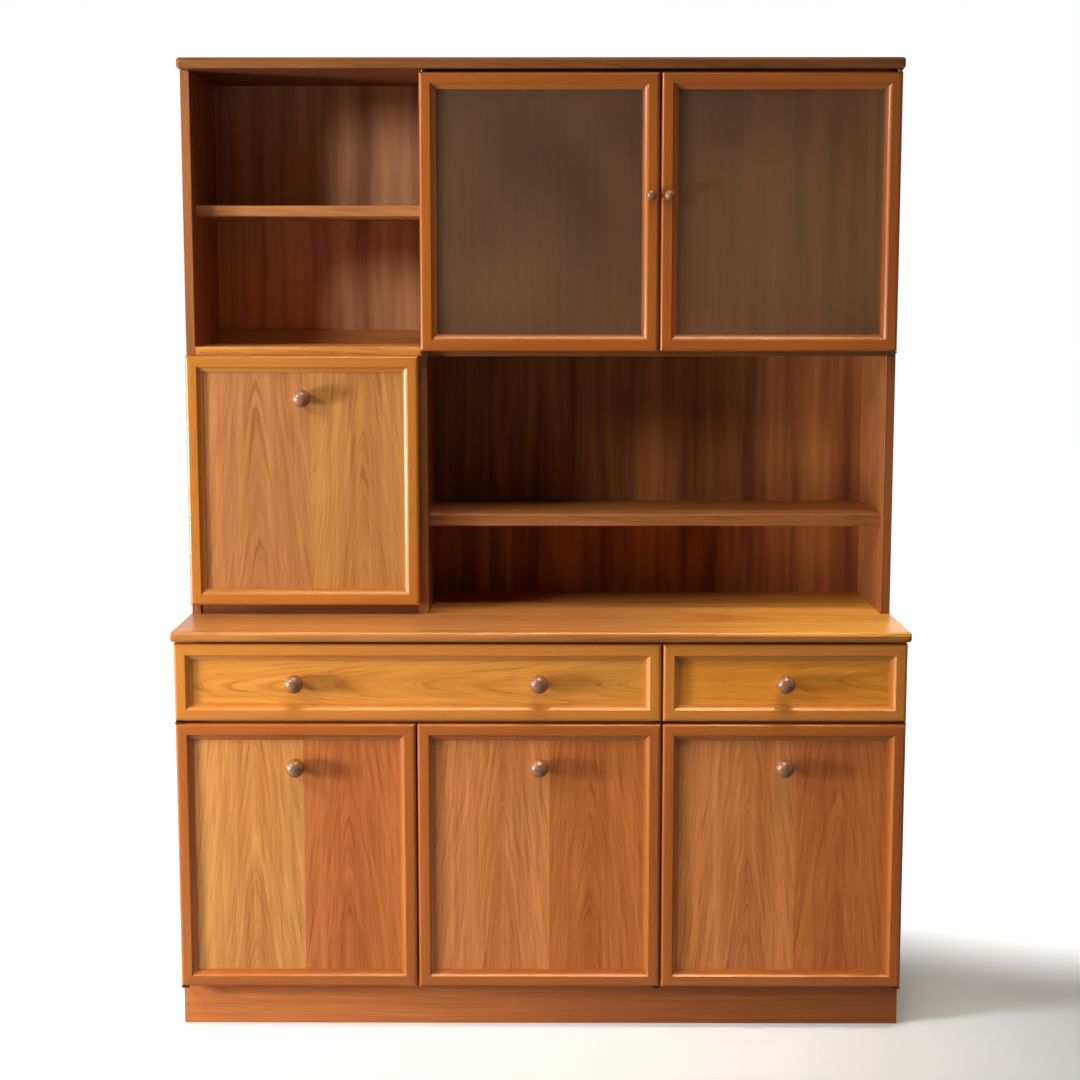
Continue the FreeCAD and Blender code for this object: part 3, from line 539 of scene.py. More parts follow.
@dataclass(frozen=True)
class PaneGlass(Finish):
    """Clear float glass under a brownish cover with soft patches: a painted reflection of a dim
    room.
    """

    colour: Colour
    cover: float

    def mix(self, recipe: Recipe) -> Material:
        """Mixes it."""
        x, _, z = recipe.place()
        # painted reflection: the cover's colour and its soft patches stand for a dim room seen in
        # the glass
        reflection_patches = recipe.noise(x * 3.2, z * 2.6, 1.0)
        colour = recipe.dim(self.colour, reflection_patches.rise(0.3, 0.72).between(0.8, 1.2))
        return recipe.finish(colour, 0.035, Alpha=self.cover)


@dataclass(frozen=True)
class Metal(Finish):
    """Plain metal with fine scratches and a dull film."""

    bright: Colour
    dull: Colour

    def mix(self, recipe: Recipe) -> Material:
        """Mixes it."""
        x, y, z = recipe.place()
        film = recipe.noise(x * 90, y * 90, z * 90, 3.0, 0.6)
        scratch = recipe.noise(x * 300, y * 2400, z * 2400)
        colour = recipe.blend(self.bright, self.dull, film.rise(0.35, 0.75))
        return recipe.finish(colour, 0.28 + (film - 0.5) * 0.3, 0.5, scratch, 0.02 * MM,
                             Metallic=1.0)


@dataclass(frozen=True)
class Moulded(Finish):
    """Moulded plastic with a fine orange-peel skin."""

    colour: Colour

    def mix(self, recipe: Recipe) -> Material:
        """Mixes it."""
        x, y, z = recipe.place()
        skin = recipe.noise(x * 900, y * 900, z * 900)
        mottle = recipe.noise(x * 60, y * 60, z * 60)
        return recipe.finish(recipe.dim(self.colour, mottle.between(0.85, 1.15)),
                             0.42 + (mottle - 0.5) * 0.1, 0.4, skin, 0.04 * MM)


# ---- surfaces ----
CRISP = math.radians(34.0)
BORE_SIDES = 24
OBLIQUE = (0.3, 0.5, 0.8)


def link(name: str, data: bpy.types.ID) -> Object:
    """Adds one object to the scene.

    Args:
        name: Its name.
        data: Its mesh, lamp or camera.

    Returns:
        The object.
    """
    made = bpy.data.objects.new(name, data)
    bpy.context.scene.collection.objects.link(made)
    return made


def ease(mesh: bpy.types.Mesh) -> None:
    """Shades a mesh smooth, all but the edges sharper than CRISP."""
    mesh.polygons.foreach_set("use_smooth", np.ones(len(mesh.polygons), bool))
    mesh.set_sharp_from_angle(angle=CRISP)
    mesh.update()


def shells(name: str, points: np.ndarray, faces: Iterable[Sequence[int]]) -> bpy.types.Mesh:
    """Makes a mesh of closed shells, every face turned outwards.

    Args:
        name: The mesh's name.
        points: Its corners, one row each.
        faces: Its faces, as places in points.

    Returns:
        The mesh.
    """
    mesh = bpy.data.meshes.new(name)
    mesh.from_pydata(points.tolist(), [], [list(map(int, face)) for face in faces])
    mesh.validate()
    work = bmesh.new()
    work.from_mesh(mesh)
    bmesh.ops.recalc_face_normals(work, faces=work.faces[:])
    work.to_mesh(mesh)
    work.free()
    return mesh


def piece(mesh: bpy.types.Mesh, material: Material, node: str) -> Object:
    """Makes one object of the dresser, which rides on the body of the node it stands for.

    Args:
        mesh: Its mesh, whose name it takes.
        material: Its finish.
        node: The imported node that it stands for.

    Returns:
        The object.
    """
    ease(mesh)
    mesh.materials.append(material)
    made = link(mesh.name, mesh)
    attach(made, frame["nodes"][node]["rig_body"])
    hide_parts(node)
    LOG.info("%s", made.name)
    return made


def grid_faces(rows: int, columns: int, start: int = 0) -> np.ndarray:
    """The quads between rows of points that close on themselves.

    Args:
        rows: The number of rows.
        columns: The points in each.
        start: The place of the first point.

    Returns:
        Four places for each quad.
    """
    row = np.arange(rows - 1)[:, None]
    column = np.arange(columns)[None, :]
    after = (column + 1) % columns
    corners = (row * columns + column, row * columns + after,
               (row + 1) * columns + after, (row + 1) * columns + column)
    return start + np.stack(np.broadcast_arrays(*corners), -1).reshape(-1, 4)


def carve(made: Object, axes: Iterable[Sequence[Point]], radius: float) -> None:
    """Bores round holes through a piece.

    Args:
        made: The piece.
        axes: The two ends of each hole's axis.
        radius: The radius of all of them.
    """
    sides = BORE_SIDES
    turn = np.linspace(0, 2 * np.pi, sides, endpoint=False)[:, None]
    faces = [*grid_faces(2, sides), range(sides), range(sides, 2 * sides)]
    for start, end in np.array(axes):
        axis = (end - start) / np.linalg.norm(end - start)
        side = np.cross(axis, OBLIQUE)
        side /= np.linalg.norm(side)
        ring = radius * (np.cos(turn) * side + np.sin(turn) * np.cross(axis, side))
        mesh = shells("bore", np.concatenate([start + ring, end + ring]), faces)
        tool = link("bore", mesh)
        cut = made.modifiers.new("bore", "BOOLEAN")
        cut.operation, cut.object, cut.solver = "DIFFERENCE", tool, "EXACT"
        whole = bpy.data.meshes.new_from_object(
            made.evaluated_get(bpy.context.evaluated_depsgraph_get()))
        made.modifiers.remove(cut)
        old, made.data = made.data, whole
        whole.name = made.name
        bpy.data.meshes.remove(old)
        bpy.data.objects.remove(tool)
        bpy.data.meshes.remove(mesh)
    ease(made.data)


@dataclass(frozen=True)
class Moulding:
    """The section of a frame's strips: u from the outer edge inwards, w back from the face."""

    width: float = 32 * MM
    thickness: float = 18 * MM
    rounding: float = 6 * MM
    flat: float = 15 * MM
    drop: float = 7.5 * MM
    hollow: float = 1.5 * MM
    recess: float = 9 * MM
    sheet: float = 6.2 * MM
    lip: float = 8 * MM
    arris: float = 0.6 * MM
    hair: float = 0.08 * MM
    open_back: bool = False
    round_steps: int = 12
    slope_steps: int = 14

    def section(self) -> np.ndarray:
        """The section's points in order.

        The outer round is (r - r cos a, r - r sin a) for a from 0 to a right angle.  The inner
        slope runs from start to end as start + t (end - start), sunk below that chord by
        4 t (1 - t) times the hollow.  A groove, or a rebate open to the back, holds the sheet.

        Returns:
            One row of u and w for each point.
        """
        r = self.rounding
        a = np.linspace(0, RIGHT_ANGLE, self.round_steps)
        outer = np.column_stack([r - r * np.cos(a), r - r * np.sin(a)])
        start = np.array([r + self.flat, 0.0])
        end = np.array([self.width, self.drop])
        t = np.linspace(0, 1, self.slope_steps)[:, None]
        sunk = np.array([-(end - start)[1], (end - start)[0]]) / np.linalg.norm(end - start)
        slope = start + t * (end - start) + 4 * t * (1 - t) * self.hollow * sunk
        groove = self.width - self.lip
        back = self.recess + self.sheet
        inner = [(self.width, self.recess), (groove, self.recess)]
        inner += ([(groove, self.thickness)] if self.open_back else
                  [(groove, back), (self.width, back), (self.width, self.thickness)])
        e = self.arris
        rear = [(e, self.thickness), (0.3 * e, self.thickness - 0.3 * e), (0.0, self.thickness - e)]
        return np.concatenate([outer, [(r + self.flat / 2, 0.0)], slope, inner, rear])

    def frame(self, name: str, low: Point, high: Point, material: Material, node: str) -> Object:
        """Carries the section round a rectangle as four strips that meet at mitres.

        A strip's point is s along and u inwards; its ends lie at s = u and s = length - u, and a
        hair's breadth is kept between neighbours.  The map gives s along and the distance round
        the section across, and each strip has its own stretch of it.

        Args:
            name: The piece's name.
            low: The least corner of the frame's box.
            high: Its greatest corner.
            material: Its finish.
            node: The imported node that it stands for.

        Returns:
            The object.
        """
        section = self.section()
        count = len(section)
        u, w = section.T
        girth = np.concatenate([[0], np.cumsum(np.linalg.norm(np.diff(section, axis=0), axis=1))])
        (left, face, bottom), (right, _, top) = low, high
        wide, tall = right - left, top - bottom
        points, faces, lays = [], [], []
        for quarter, (x0, z0, length) in enumerate((
                (left, bottom, wide), (right, bottom, tall), (right, top, wide),
                (left, top, tall))):
            stations = np.stack([u + self.hair, length - u - self.hair])
            turn = quarter * RIGHT_ANGLE
            cos, sin = round(math.cos(turn)), round(math.sin(turn))
            x = x0 + stations * cos - u * sin
            z = z0 + stations * sin + u * cos
            y = face + np.broadcast_to(w, stations.shape)
            start = 2 * count * quarter
            points.append(np.stack([x, y, z], -1).reshape(-1, 3))
            faces += [*grid_faces(2, count, start), range(start, start + count),
                      range(start + count, start + 2 * count)]
            home = quarter * 1.37 + left * 3.1 + bottom * 2.3
            lay = np.stack([stations + home, girth + home * 0.7 + 0 * stations], -1)
            lays.append(lay.reshape(-1, 2))
        made = piece(shells(name, np.concatenate(points), faces), material, node)
        layer = made.data.uv_layers.new(name=STRIP_MAP)
        owner = np.empty(len(made.data.loops), int)
        made.data.loops.foreach_get("vertex_index", owner)
        layer.data.foreach_set("uv", np.concatenate(lays)[owner].ravel())
        return made


@dataclass(frozen=True)
class KnobShape:
    """A turned knob: a ball on a short neck, its face a little flattened."""

    radius: float
    length: float
    neck: float
    cove: float = 1.6 * MM
    flat: float = 0.35 * MM
    least_foot: float = 0.3 * MM
    neck_turn: float = 0.12
    bell: float = 0.32
    front_turn: float = 1.5
    ball_steps: int = 30
    cove_steps: int = 4
    sides: int = 48

    def profile(self) -> np.ndarray:
        """Radius and distance out from the seat, from the seat's middle to the face's middle.

        The ball is (R sin a, c + R cos a) with c the length less R; the face is pressed back by a
        bell of the distance from the axis, and the neck runs into the ball by a small hollow.

        Returns:
            One row for each ring.
        """
        centre = self.length - self.radius
        start = math.pi - math.asin(self.neck / self.radius) - self.neck_turn
        a = np.linspace(start, 0, self.ball_steps)
        r = self.radius * np.sin(a)
        out = centre + self.radius * np.cos(a)
        out -= self.flat * np.exp(-(r / (self.bell * self.radius)) ** 2) * (a < self.front_turn)
        turn = np.linspace(0, 1, self.cove_steps, endpoint=False)[:, None]
        foot = np.array([self.neck, max(out[0] - self.cove, self.least_foot)])
        hollow = foot + (np.array([r[0], out[0]]) - foot) * turn
        hollow[:, 0] -= self.cove * 0.25 * np.sin(np.pi * turn[:, 0])
        return np.concatenate([[(0, 0), (self.neck, 0)], hollow, np.column_stack([r, out])])

    def make(self, name: str, x: float, z: float, seat: float, material: Material,
             node: str) -> Object:
        """Spins the profile about an axis along Y.

        A point is (x + r cos b, seat - out, z + r sin b); each end on the axis is one point.

        Args:
            name: The piece's name.
            x: The axis, across.
            z: The axis, up.
            seat: The plane that the neck stands on.
            material: Its finish.
            node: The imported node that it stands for.

        Returns:
            The object.
        """
        sides = self.sides
        rings = self.profile()
        b = np.linspace(0, 2 * np.pi, sides, endpoint=False)
        r, out = rings[1:-1, :1], rings[1:-1, 1:]
        grid = np.stack(np.broadcast_arrays(x + r * np.cos(b), seat - out, z + r * np.sin(b)), -1)
        points = np.concatenate([grid.reshape(-1, 3), [(x, seat, z)],
                                 [(x, seat - rings[-1, 1], z)]])
        last = (len(r) - 1) * sides
        low, high = len(points) - 2, len(points) - 1
        here = np.arange(sides)
        after = (here + 1) % sides
        faces = [*grid_faces(len(r), sides),
                 *np.stack([np.full(sides, low), after, here], -1),
                 *np.stack([np.full(sides, high), last + here, last + after], -1)]
        return piece(shells(name, points, faces), material, node)


@dataclass(frozen=True)
class TopBoard:
    """A top board whose front and ends are rounded above and below."""

    node: str
    radius: float = 6 * MM
    least_corner: float = 0.4 * MM
    edge_steps: int = 9
    corner_steps: int = 7

    def make(self, material: Material) -> Object:
        """Lays ring on ring from the under side to the upper side.

        A ring is the plan of the board, drawn in by r (1 - cos a) at the height r (1 - sin a) from
        the nearer face, with its front corners rounded by what is left of the radius.

        Args:
            material: Its finish.

        Returns:
            The object.
        """
        (x0, y0, z0), (x1, y1, z1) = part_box(self.node)
        r = self.radius
        a = np.linspace(0, RIGHT_ANGLE, self.edge_steps)
        inset = np.concatenate([r * (1 - np.sin(a)), r * (1 - np.cos(a))])
        height = np.concatenate([z0 + r * (1 - np.cos(a)), z1 - r * (1 - np.sin(a))])
        turn = np.linspace(0, RIGHT_ANGLE, self.corner_steps)
        rings = []
        for d, z in zip(inset, height):
            corner = r - d + self.least_corner
            near, far = d + corner * (1 - np.cos(turn)), d + corner * (1 - np.sin(turn))
            plan = np.concatenate([[(x0 + d, y1)], np.column_stack([x0 + near, y0 + far]),
                                   np.column_stack([x1 - far, y0 + near]), [(x1 - d, y1)]])
            rings.append(np.column_stack([plan, np.full(len(plan), z)]))
        count = len(rings[0])
        points = np.concatenate(rings)
        faces = [*grid_faces(len(rings), count), range(count),
                 range(len(points) - count, len(points))]
        return piece(shells(self.node + "_board", points, faces), material,
                     self.node)


# ---- the dresser ----
def paint(material: Material, *nodes: str) -> None:
    """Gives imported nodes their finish, in every slot.

    Args:
        material: The finish.
        nodes: The nodes.
    """
    for node in nodes:
        mesh = frame["nodes"][node].data
        if not mesh.materials:
            mesh.materials.append(material)
        for place in range(len(mesh.materials)):
            mesh.materials[place] = material
        LOG.info("%s", node)


GOLDEN_TEAK = tint(228, 158, 85), tint(185, 107, 46)
MILD_TEAK = tint(227, 146, 80), tint(178, 97, 45)
RED_TEAK = tint(211, 125, 61), tint(167, 82, 32)


class Finishes:
    """The finishes that pieces share."""

    def __init__(self) -> None:
        """Builds them."""
        self.frame_teak = self.frame_wood("teak frame", tint(197, 113, 40), tint(156, 75, 22))
        self.glass_frame_teak = self.frame_wood("glass door teak", tint(184, 105, 36),
                                                tint(145, 70, 19))
        self.drawer_frame_teak = self.frame_wood("drawer teak", tint(230, 148, 58),
                                                 tint(180, 101, 34), 5.0)
        self.flap_frame_teak = self.frame_wood("flap teak", tint(203, 130, 50),
                                               tint(159, 88, 29), 5.0)
        self.strip_teak = SolidWood("teak strip", Grain.X, tint(216, 136, 72),
                                    tint(168, 92, 42)).dress()
        self.knob_teak = TurnedWood("turned teak", tint(166, 113, 76), tint(106, 66, 42)).dress()
        self.brass = Metal("aged brass", tint(150, 114, 62), tint(78, 56, 32)).dress()
        # the pane's brownish cover is a painted reflection of a dim room
        self.glass = PaneGlass("pane glass", tint(138, 104, 76), 0.28).dress()
        self.plastic = Moulded("catch plastic", tint(96, 66, 44)).dress()
        timber = tint(222, 186, 132), tint(186, 144, 92)
        self.box_wood = SolidWood("drawer timber", Grain.Y, *timber, roughness=0.5).dress()
        self.box_end_wood = SolidWood("drawer end timber", Grain.X, *timber, roughness=0.5,
                                      seed=2.0).dress()

    @staticmethod
    def frame_wood(name: str, light: Colour, dark: Colour, seed: float = 0.0) -> Material:
        """The glossier wood of a moulded frame, with its grain along each strip."""
        return SolidWood(name, Grain.STRIP, light, dark, roughness=0.27, sheen=0.48,
                         seed=seed).dress()


class Hang(Enum):
    """The edge that a side-hung front swings on."""

    LEFT = "left"
    RIGHT = "right"


@dataclass
class Front:
    """A door, drawer front or flap: a moulded frame round a panel or pane, with its knobs.

    The foot gap lifts the frame's lower edge, so that an open flap just clears the carcass.
    """

    name: str
    teak: Material
    sheet: Material
    knob_teak: Material
    sheet_suffix: str = "_panel"
    knob_suffix: str = "_knob"
    hang: Hang | None = None
    foot_gap: float = 0.0
    knob: KnobShape = KnobShape(17.5 * MM, 36 * MM, 9 * MM)
    moulding: Moulding = Moulding()
    pin_from_edge: float = 7 * MM
    pin_from_face: float = 7.5 * MM
    bore_radius: float = 2.6 * MM
    bore_depth: float = 10 * MM
    bore_overrun: float = 2 * MM

    def build(self) -> Object:
        """Makes the frame and the knobs, and dresses the panel or pane.

        Returns:
            The frame.
        """
        node = self.name + "_frame"
        (left, face, bottom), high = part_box(node)
        made = self.moulding.frame(self.name + "_moulding", (left, face, bottom + self.foot_gap),
                                   high, self.teak, node)
        if self.hang is not None:
            self.bore(made, node)
        paint(self.sheet, self.name + self.sheet_suffix)
        self.turn_knobs(self.name + self.knob_suffix)
        return made

    def bore(self, made: Object, node: str) -> None:
        """Bores the frame's foot and head for the pins that it swings on.

        Args:
            made: The frame.
            node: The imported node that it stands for.
        """
        (left, face, bottom), (right, _, top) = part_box(node)
        x = left + self.pin_from_edge if self.hang is Hang.LEFT else right - self.pin_from_edge
        y = face + self.pin_from_face
        ends = ((bottom - self.bore_overrun, bottom + self.bore_depth),
                (top - self.bore_depth, top + self.bore_overrun))
        carve(made, [((x, y, low), (x, y, high)) for low, high in ends], self.bore_radius)

    def turn_knobs(self, node: str) -> None:
        """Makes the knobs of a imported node, which holds one of them, or two side by side.

        Args:
            node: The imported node.
        """
        low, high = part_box(node)
        radius = self.knob.radius
        pair = high[0] - low[0] > 4 * radius
        xs = [low[0] + radius, high[0] - radius] if pair else [(low[0] + high[0]) / 2]
        for number, x in enumerate(xs, 1):
            name = self.name + "_turned_knob" + (f"_{number}" if pair else "")
            self.knob.make(name, x, (low[2] + high[2]) / 2, high[1], self.knob_teak, node)


@dataclass
class BaseCupboard:
    """The plinth, the carcass, three doors and two drawers."""

    finishes: Finishes
    lipping: float = 7 * MM

    def build(self) -> None:
        """Builds and dresses the base."""
        self.carcass()
        self.doors()
        self.drawers()

    def carcass(self) -> None:
        """Dresses the fixed boards and makes the top."""
        finishes = self.finishes
        # painted light: towards its right end the base top's upper face turns yellower and lighter,
        # a pool of warm light painted into the veneer
        warm_light_pool = Leaf(0.0, tint(255, 190, 90), tint(210, 134, 53))
        lipping = Leaf(0.0, tint(196, 124, 62), tint(150, 84, 36))
        TopBoard("base_top").make(Veneer(
            "base top veneer", Grain.X, (Leaf(0.70, tint(207, 141, 79), tint(163, 97, 47)),),
            heart=60 * MM, taper=0.05, bands=1.3, seed=4.0, roughness=0.3,
            fade=(warm_light_pool, 0.1, 0.62),
            lip=(lipping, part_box("base_top")[1][2] - self.lipping)).dress())
        side = Veneer("", Grain.Z, (Leaf(-0.02, tint(214, 136, 70), tint(156, 86, 38)),),
                      heart=40 * MM, taper=0.08, bands=1.2)
        for seed, node in enumerate(("base_side_left", "base_side_right", "base_partition"), 1):
            side.cover(node, seed=float(seed))
        # painted shade: the plinth darkens towards the right, for the light from the left falling
        # off
        falloff_shade = Leaf(0.0, tint(188, 106, 48), tint(146, 71, 30))
        Veneer("", Grain.LEVEL, (Leaf(-0.3, tint(237, 141, 72), tint(189, 101, 44)),), taper=0.03,
               bands=0.6, lines=0.8, stripes=0.9, crown=0.0, seed=6.0,
               fade=(falloff_shade, -0.6, 0.3)).cover("plinth")
        inner = Veneer("", Grain.X, (Leaf(0.4, *RED_TEAK),), bands=1.0, taper=0.04, seed=7.0,
                       roughness=0.45)
        inner.cover("base_bottom")
        inner.cover("base_shelves")
        paint(finishes.strip_teak, "drawer_rails")
        paint(finishes.box_wood, "drawer_runners")
        paint(finishes.brass, "base_shelf_studs", "base_door_pivots")
        back = Leaf(0.0, tint(150, 90, 50), tint(100, 56, 30))
        paint(BackSheet("base back", "base_back", back).dress(), "base_back")

    def doors(self) -> None:
        """Makes the three doors, each with two leaves."""
        finishes = self.finishes
        for name, hang, left, seam, right, seed in (
                ("door_left", Hang.LEFT, Leaf(-0.534, *GOLDEN_TEAK), -0.443,
                 Leaf(-0.360, *RED_TEAK), 1.3),
                ("door_middle", Hang.RIGHT, Leaf(-0.072, *MILD_TEAK), 0.017,
                 Leaf(0.091, *RED_TEAK), 1.36),
                ("door_right", Hang.RIGHT, Leaf(0.389, *MILD_TEAK), 0.477,
                 Leaf(0.556, *RED_TEAK), 1.42)):
            panel = Veneer(name + " veneer", Grain.UPRIGHT, (left, right), (seam,), seed=seed)
            Front(name, finishes.frame_teak, panel.dress(), finishes.knob_teak, hang=hang).build()

    def drawers(self) -> None:
        """Makes the two drawers: fronts with level grain, and plain timber boxes."""
        finishes = self.finishes
        for name, knobs, leaf, seed in (
                ("drawer_long", "_knobs", Leaf(0.664, tint(246, 169, 72), tint(206, 125, 46)), 2.2),
                ("drawer_short", "_knob", Leaf(0.672, tint(254, 169, 58), tint(217, 131, 42)),
                 5.1)):
            panel = Veneer(name + " veneer", Grain.LYING, (leaf,), heart=12 * MM, taper=-0.12,
                           bands=0.7, lines=1.3, stripes=0.9, seed=seed)
            Front(name, finishes.drawer_frame_teak, panel.dress(), finishes.knob_teak,
                  knob_suffix=knobs).build()
            paint(finishes.box_wood, name + "_sides")
            paint(finishes.box_end_wood, name + "_ends", name + "_bottom")


@dataclass
class Hutch:
    """The carcass over the base, the glass doors and the drop-front flap."""

    finishes: Finishes
    # how far above the hutch top's underside its painted shade reaches
    under_shade_height: float = 1 * MM
    bay_edge: float = -0.226
    hinge_length: float = 60 * MM
    barrel_radius: float = 2.85 * MM
    barrel_from_face: float = 19.5 * MM
    barrel_from_foot: float = 2.5 * MM
    barrel_play: float = 0.3 * MM

    def build(self) -> None:
        """Builds and dresses the hutch."""
        self.carcass()
        self.glass_doors()
        self.flap()

    def carcass(self) -> None:
        """Dresses the fixed boards and makes the top."""
        finishes = self.finishes
        # painted shade: the hutch top's underside, up to 1 mm above it, takes a dark leaf for the
        # shade beneath the board
        under = Leaf(0.0, tint(112, 62, 32), tint(76, 38, 20))
        TopBoard("hutch_top").make(Veneer(
            "hutch top veneer", Grain.X, (Leaf(1.70, tint(149, 93, 44), tint(104, 55, 24)),),
            heart=60 * MM, taper=0.05, bands=1.0, seed=8.0,
            lip=(under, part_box("hutch_top")[0][2] + self.under_shade_height)).dress())
        upright = Veneer("", Grain.Z, (Leaf(0.75, tint(161, 100, 54), tint(117, 62, 29)),),
                         heart=40 * MM, taper=0.08, bands=1.1)
        for node, seed in (("hutch_side_left", 1.5), ("hutch_side_right", 2.5),
                           ("hutch_divider_upper", 3.5), ("hutch_divider_lower", 4.5)):
            upright.cover(node, seed=seed)
        level = Veneer("", Grain.X, (Leaf(0.9, tint(185, 122, 70), tint(136, 78, 41)),),
                       heart=40 * MM, taper=0.04, bands=1.0, seed=9.0)
        level.cover("hutch_shelf_left")
        level.cover("bay_back_rail")
        level.cover("hutch_shelf_right", Leaf(0.9, tint(168, 108, 58), tint(122, 70, 35)), seed=9.8)
        # painted shade: the floor under the flap takes a darker leaf for the shade on its front edge
        level.cover("hutch_floor", Leaf(0.9, tint(130, 78, 44), tint(90, 50, 26)), seed=9.8)
        # painted light and shade: the mid board's light leaf is its lit edge over the bay, and
        # beyond x -0.21 it fades to a dark leaf for the shade beneath the glass doors
        dark = Leaf(0.0, tint(130, 80, 44), tint(92, 52, 27))
        level.cover("hutch_mid_board", Leaf(0.9, tint(222, 150, 74), tint(168, 100, 44)), seed=9.5,
                    fade=(dark, -0.24, -0.21))
        back = Leaf(0.0, tint(209, 136, 74), tint(123, 69, 38))
        # painted light: in the bay the back is paler and greyer, for fill light and sheen on it
        bay = Leaf(0.0, tint(236, 183, 134), tint(163, 114, 83))
        paint(BackSheet("hutch back", "hutch_back", back, bay, self.bay_edge).dress(), "hutch_back")
        paint(finishes.box_wood, "hutch_dowels")
        paint(finishes.brass, "glass_door_pivots", "flap_hinge_fixed")
        paint(finishes.plastic, "catches")

    def glass_doors(self) -> None:
        """Makes both glass doors: rebated frames, panes, beads and small knobs."""
        finishes = self.finishes
        knob = KnobShape(10 * MM, 19 * MM, 5 * MM, 1.0 * MM, 0.2 * MM)
        for name, hang in (("glass_door_left", Hang.LEFT), ("glass_door_right", Hang.RIGHT)):
            Front(name, finishes.glass_frame_teak, finishes.glass, finishes.knob_teak, "_pane",
                  hang=hang, knob=knob, moulding=Moulding(open_back=True)).build()
            paint(finishes.strip_teak, name + "_beads")

    def flap(self) -> None:
        """Makes the flap and hollows its frame for the hinge barrels."""
        finishes = self.finishes
        panel = Veneer("flap veneer", Grain.UPRIGHT,
                       (Leaf(-0.546, tint(190, 127, 73), tint(152, 91, 46)),
                        Leaf(-0.340, tint(194, 135, 71), tint(159, 99, 46))), (-0.443,), seed=3.4)
        made = Front("flap", finishes.flap_frame_teak, panel.dress(), finishes.knob_teak,
                     foot_gap=0.25 * MM).build()
        low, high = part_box("flap_hinge_leaves")
        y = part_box("flap_frame")[0][1] + self.barrel_from_face
        z = low[2] + self.barrel_from_foot
        spans = ((low[0], low[0] + self.hinge_length), (high[0] - self.hinge_length, high[0]))
        carve(made, [((start - self.barrel_play, y, z), (end + self.barrel_play, y, z))
                              for start, end in spans], self.barrel_radius)
        paint(finishes.brass, "flap_hinge_leaves")


# ---- the studio ----
@dataclass(frozen=True)
class Lamp:
    """A soft rectangular lamp that looks at a point."""

    name: str
    place: tuple[float, float, float]
    target: tuple[float, float, float]
    wide: float
    tall: float
    power: float
    colour: Colour = (1.0, 1.0, 1.0)
    cone: float = 180.0

    def hang(self) -> None:
        """Adds the lamp."""
        lamp = bpy.data.lights.new(self.name, "AREA")
        lamp.shape, lamp.size, lamp.size_y = "RECTANGLE", self.wide, self.tall
        lamp.energy, lamp.color, lamp.spread = self.power, self.colour, math.radians(self.cone)
        held = link(self.name, lamp)
        look = np.array(self.target) - np.array(self.place)
        held.location = self.place
        held.rotation_euler = (math.acos(-look[2] / np.linalg.norm(look)), 0,
                               math.atan2(look[1], look[0]) - RIGHT_ANGLE)


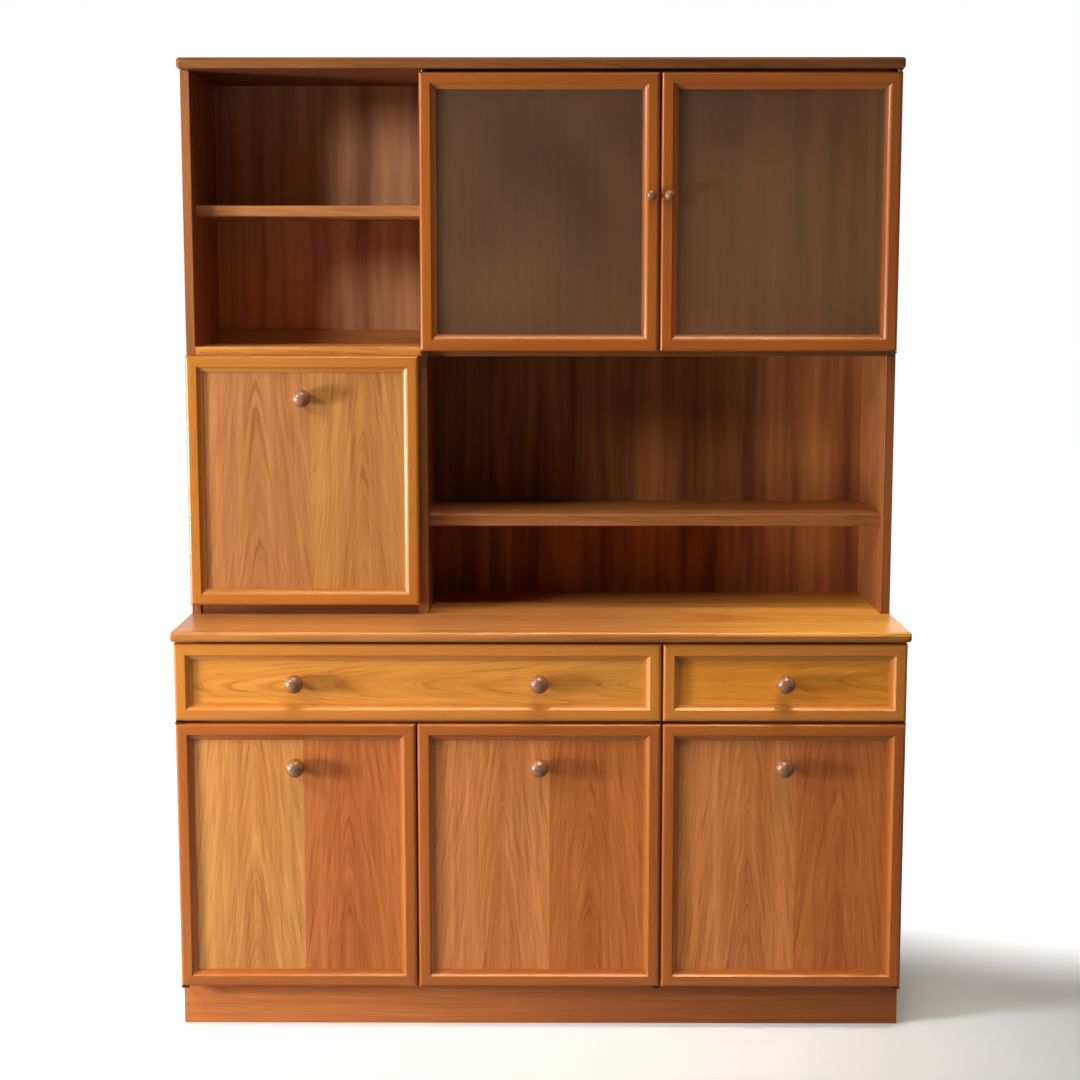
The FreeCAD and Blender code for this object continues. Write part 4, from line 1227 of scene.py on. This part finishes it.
@dataclass
class Studio:
    """The floor, the background, the lamps and the camera."""

    picture: int = 1080
    sensor: float = 36.0
    focal_pixels: float = 1680.6
    camera_place: tuple[float, float, float] = (0.0102, -3.2549, 1.3831)
    camera_dip: float = 0.11329
    camera_turn: float = 0.00357
    axis_above_middle: float = 53.5
    ambient: float = 0.02
    room: float = 0.2
    floor_lift: float = 0.02
    floor_half: float = 12.0
    lamps: tuple[Lamp, ...] = (
        Lamp("window", (-3.0, -1.05, 0.8), (0.0, -0.4, 0.7), 0.4, 0.6, 110.0, (0.97, 0.98, 1.0)),
        Lamp("upper left", (-2.1, -1.3, 2.2), (0.0, -0.2, 0.6), 0.6, 0.6, 36.0, (1.0, 0.96, 0.9)),
        Lamp("ceiling front", (-0.1, -1.1, 2.9), (-0.1, -0.35, 0.6), 1.6, 0.3, 3.2,
             (1.0, 0.86, 0.66), 60.0),
        Lamp("ceiling row", (-0.1, -0.55, 2.95), (-0.1, -0.3, 0.75), 1.6, 0.25, 2.5,
             (1.0, 0.86, 0.66), 55.0),
        Lamp("ceiling right", (0.65, -0.6, 2.95), (0.5, -0.3, 0.77), 0.5, 0.3, 0.8,
             (1.0, 0.84, 0.62), 36.0),
        Lamp("rear soft", (0.4, 3.2, 1.3), (0.0, 0.0, 0.9), 1.8, 1.8, 40.0, (1.0, 0.97, 0.93)),
    )

    def build(self) -> None:
        """Sets everything up."""
        self.camera()
        self.floor()
        self.world()
        for lamp in self.lamps:
            lamp.hang()
        bpy.context.scene.view_settings.view_transform = "Standard"
        LOG.info("studio")

    def camera(self) -> None:
        """Places the camera: its lens is the sensor times the focal length over the picture."""
        eye = bpy.data.cameras.new("camera")
        eye.sensor_width = self.sensor
        eye.lens = self.sensor * self.focal_pixels / self.picture
        eye.shift_y = -self.axis_above_middle / self.picture
        eye.clip_end = 100.0
        held = link("camera", eye)
        held.location = self.camera_place
        held.rotation_euler = (RIGHT_ANGLE - self.camera_dip, 0.0, self.camera_turn)
        bpy.context.scene.camera = held

    def floor(self) -> None:
        """Lays a pale floor that keeps the shadow and runs out into the white around it.

        The camera sees it paler than the light that it sends back on to the dresser, and gloss sees
        its white only from beside the dresser backwards.
        """
        mesh = bpy.data.meshes.new("floor")
        half = self.floor_half
        mesh.from_pydata([(-half, -half, 0), (half, -half, 0), (half, half, 0), (-half, half, 0)],
                         [], [(0, 1, 2, 3)])
        laid = link("floor", mesh)
        recipe = Recipe.named("pale floor")
        x, y, _ = recipe.place()
        away = ((x - 0.2) * (x - 0.2) + y * y).root().rise(0.9, 2.4)
        behind = (y + x * 0.35).rise(0.3, 0.75).most(x.rise(-0.66, -0.78))
        camera = recipe.ray("Camera")
        shown = camera.most(y.rise(-1.2, 0.3).between(self.room, 1.0))
        lift = self.seen(recipe) * shown * away.most(behind).between(self.floor_lift, 1.0)
        dim = recipe.add("BsdfDiffuse", {"Color": (0.40, 0.435, 0.49)})
        pale = recipe.add("BsdfDiffuse", {"Color": (0.80, 0.86, 0.95)})
        plain = recipe.add("MixShader", {0: camera, 1: dim, 2: pale})
        glow = recipe.add("Emission", {"Color": (1.0, 1.0, 1.0), "Strength": lift})
        recipe.node("OutputMaterial", {"Surface": recipe.add("AddShader", {0: plain, 1: glow})})
        mesh.materials.append(recipe.owner)

    @staticmethod
    def seen(recipe: Recipe) -> Field:
        """1 for rays that show the background: from the camera, off gloss or through glass."""
        return recipe.ray("Camera", "Glossy", "Transmission")

    def world(self) -> None:
        """Makes the background white to the rays that show it, and dim and even to the rest."""
        world = bpy.data.worlds.new("studio")
        bpy.context.scene.world = world
        recipe = Recipe(world)
        even = recipe.add("Background", {"Color": (1.0, 0.86, 0.7), "Strength": self.ambient})
        _, ahead, _ = recipe.place("Generated")
        shown = recipe.ray("Camera").most(ahead.rise(-0.35, 0.15).between(self.room, 1.0))
        white = recipe.add("Background", {"Color": (1.0, 1.0, 1.0), "Strength": shown})
        both = recipe.add("MixShader", {0: self.seen(recipe), 1: even, 2: white})
        recipe.node("OutputWorld", {"Surface": both})


def main() -> None:
    """Builds the studio and the dresser."""
    logging.basicConfig(level=logging.INFO, format="%(name)s: %(message)s")
    Studio().build()
    finishes = Finishes()
    BaseCupboard(finishes).build()
    Hutch(finishes).build()


if __name__ == "__main__":
    main()
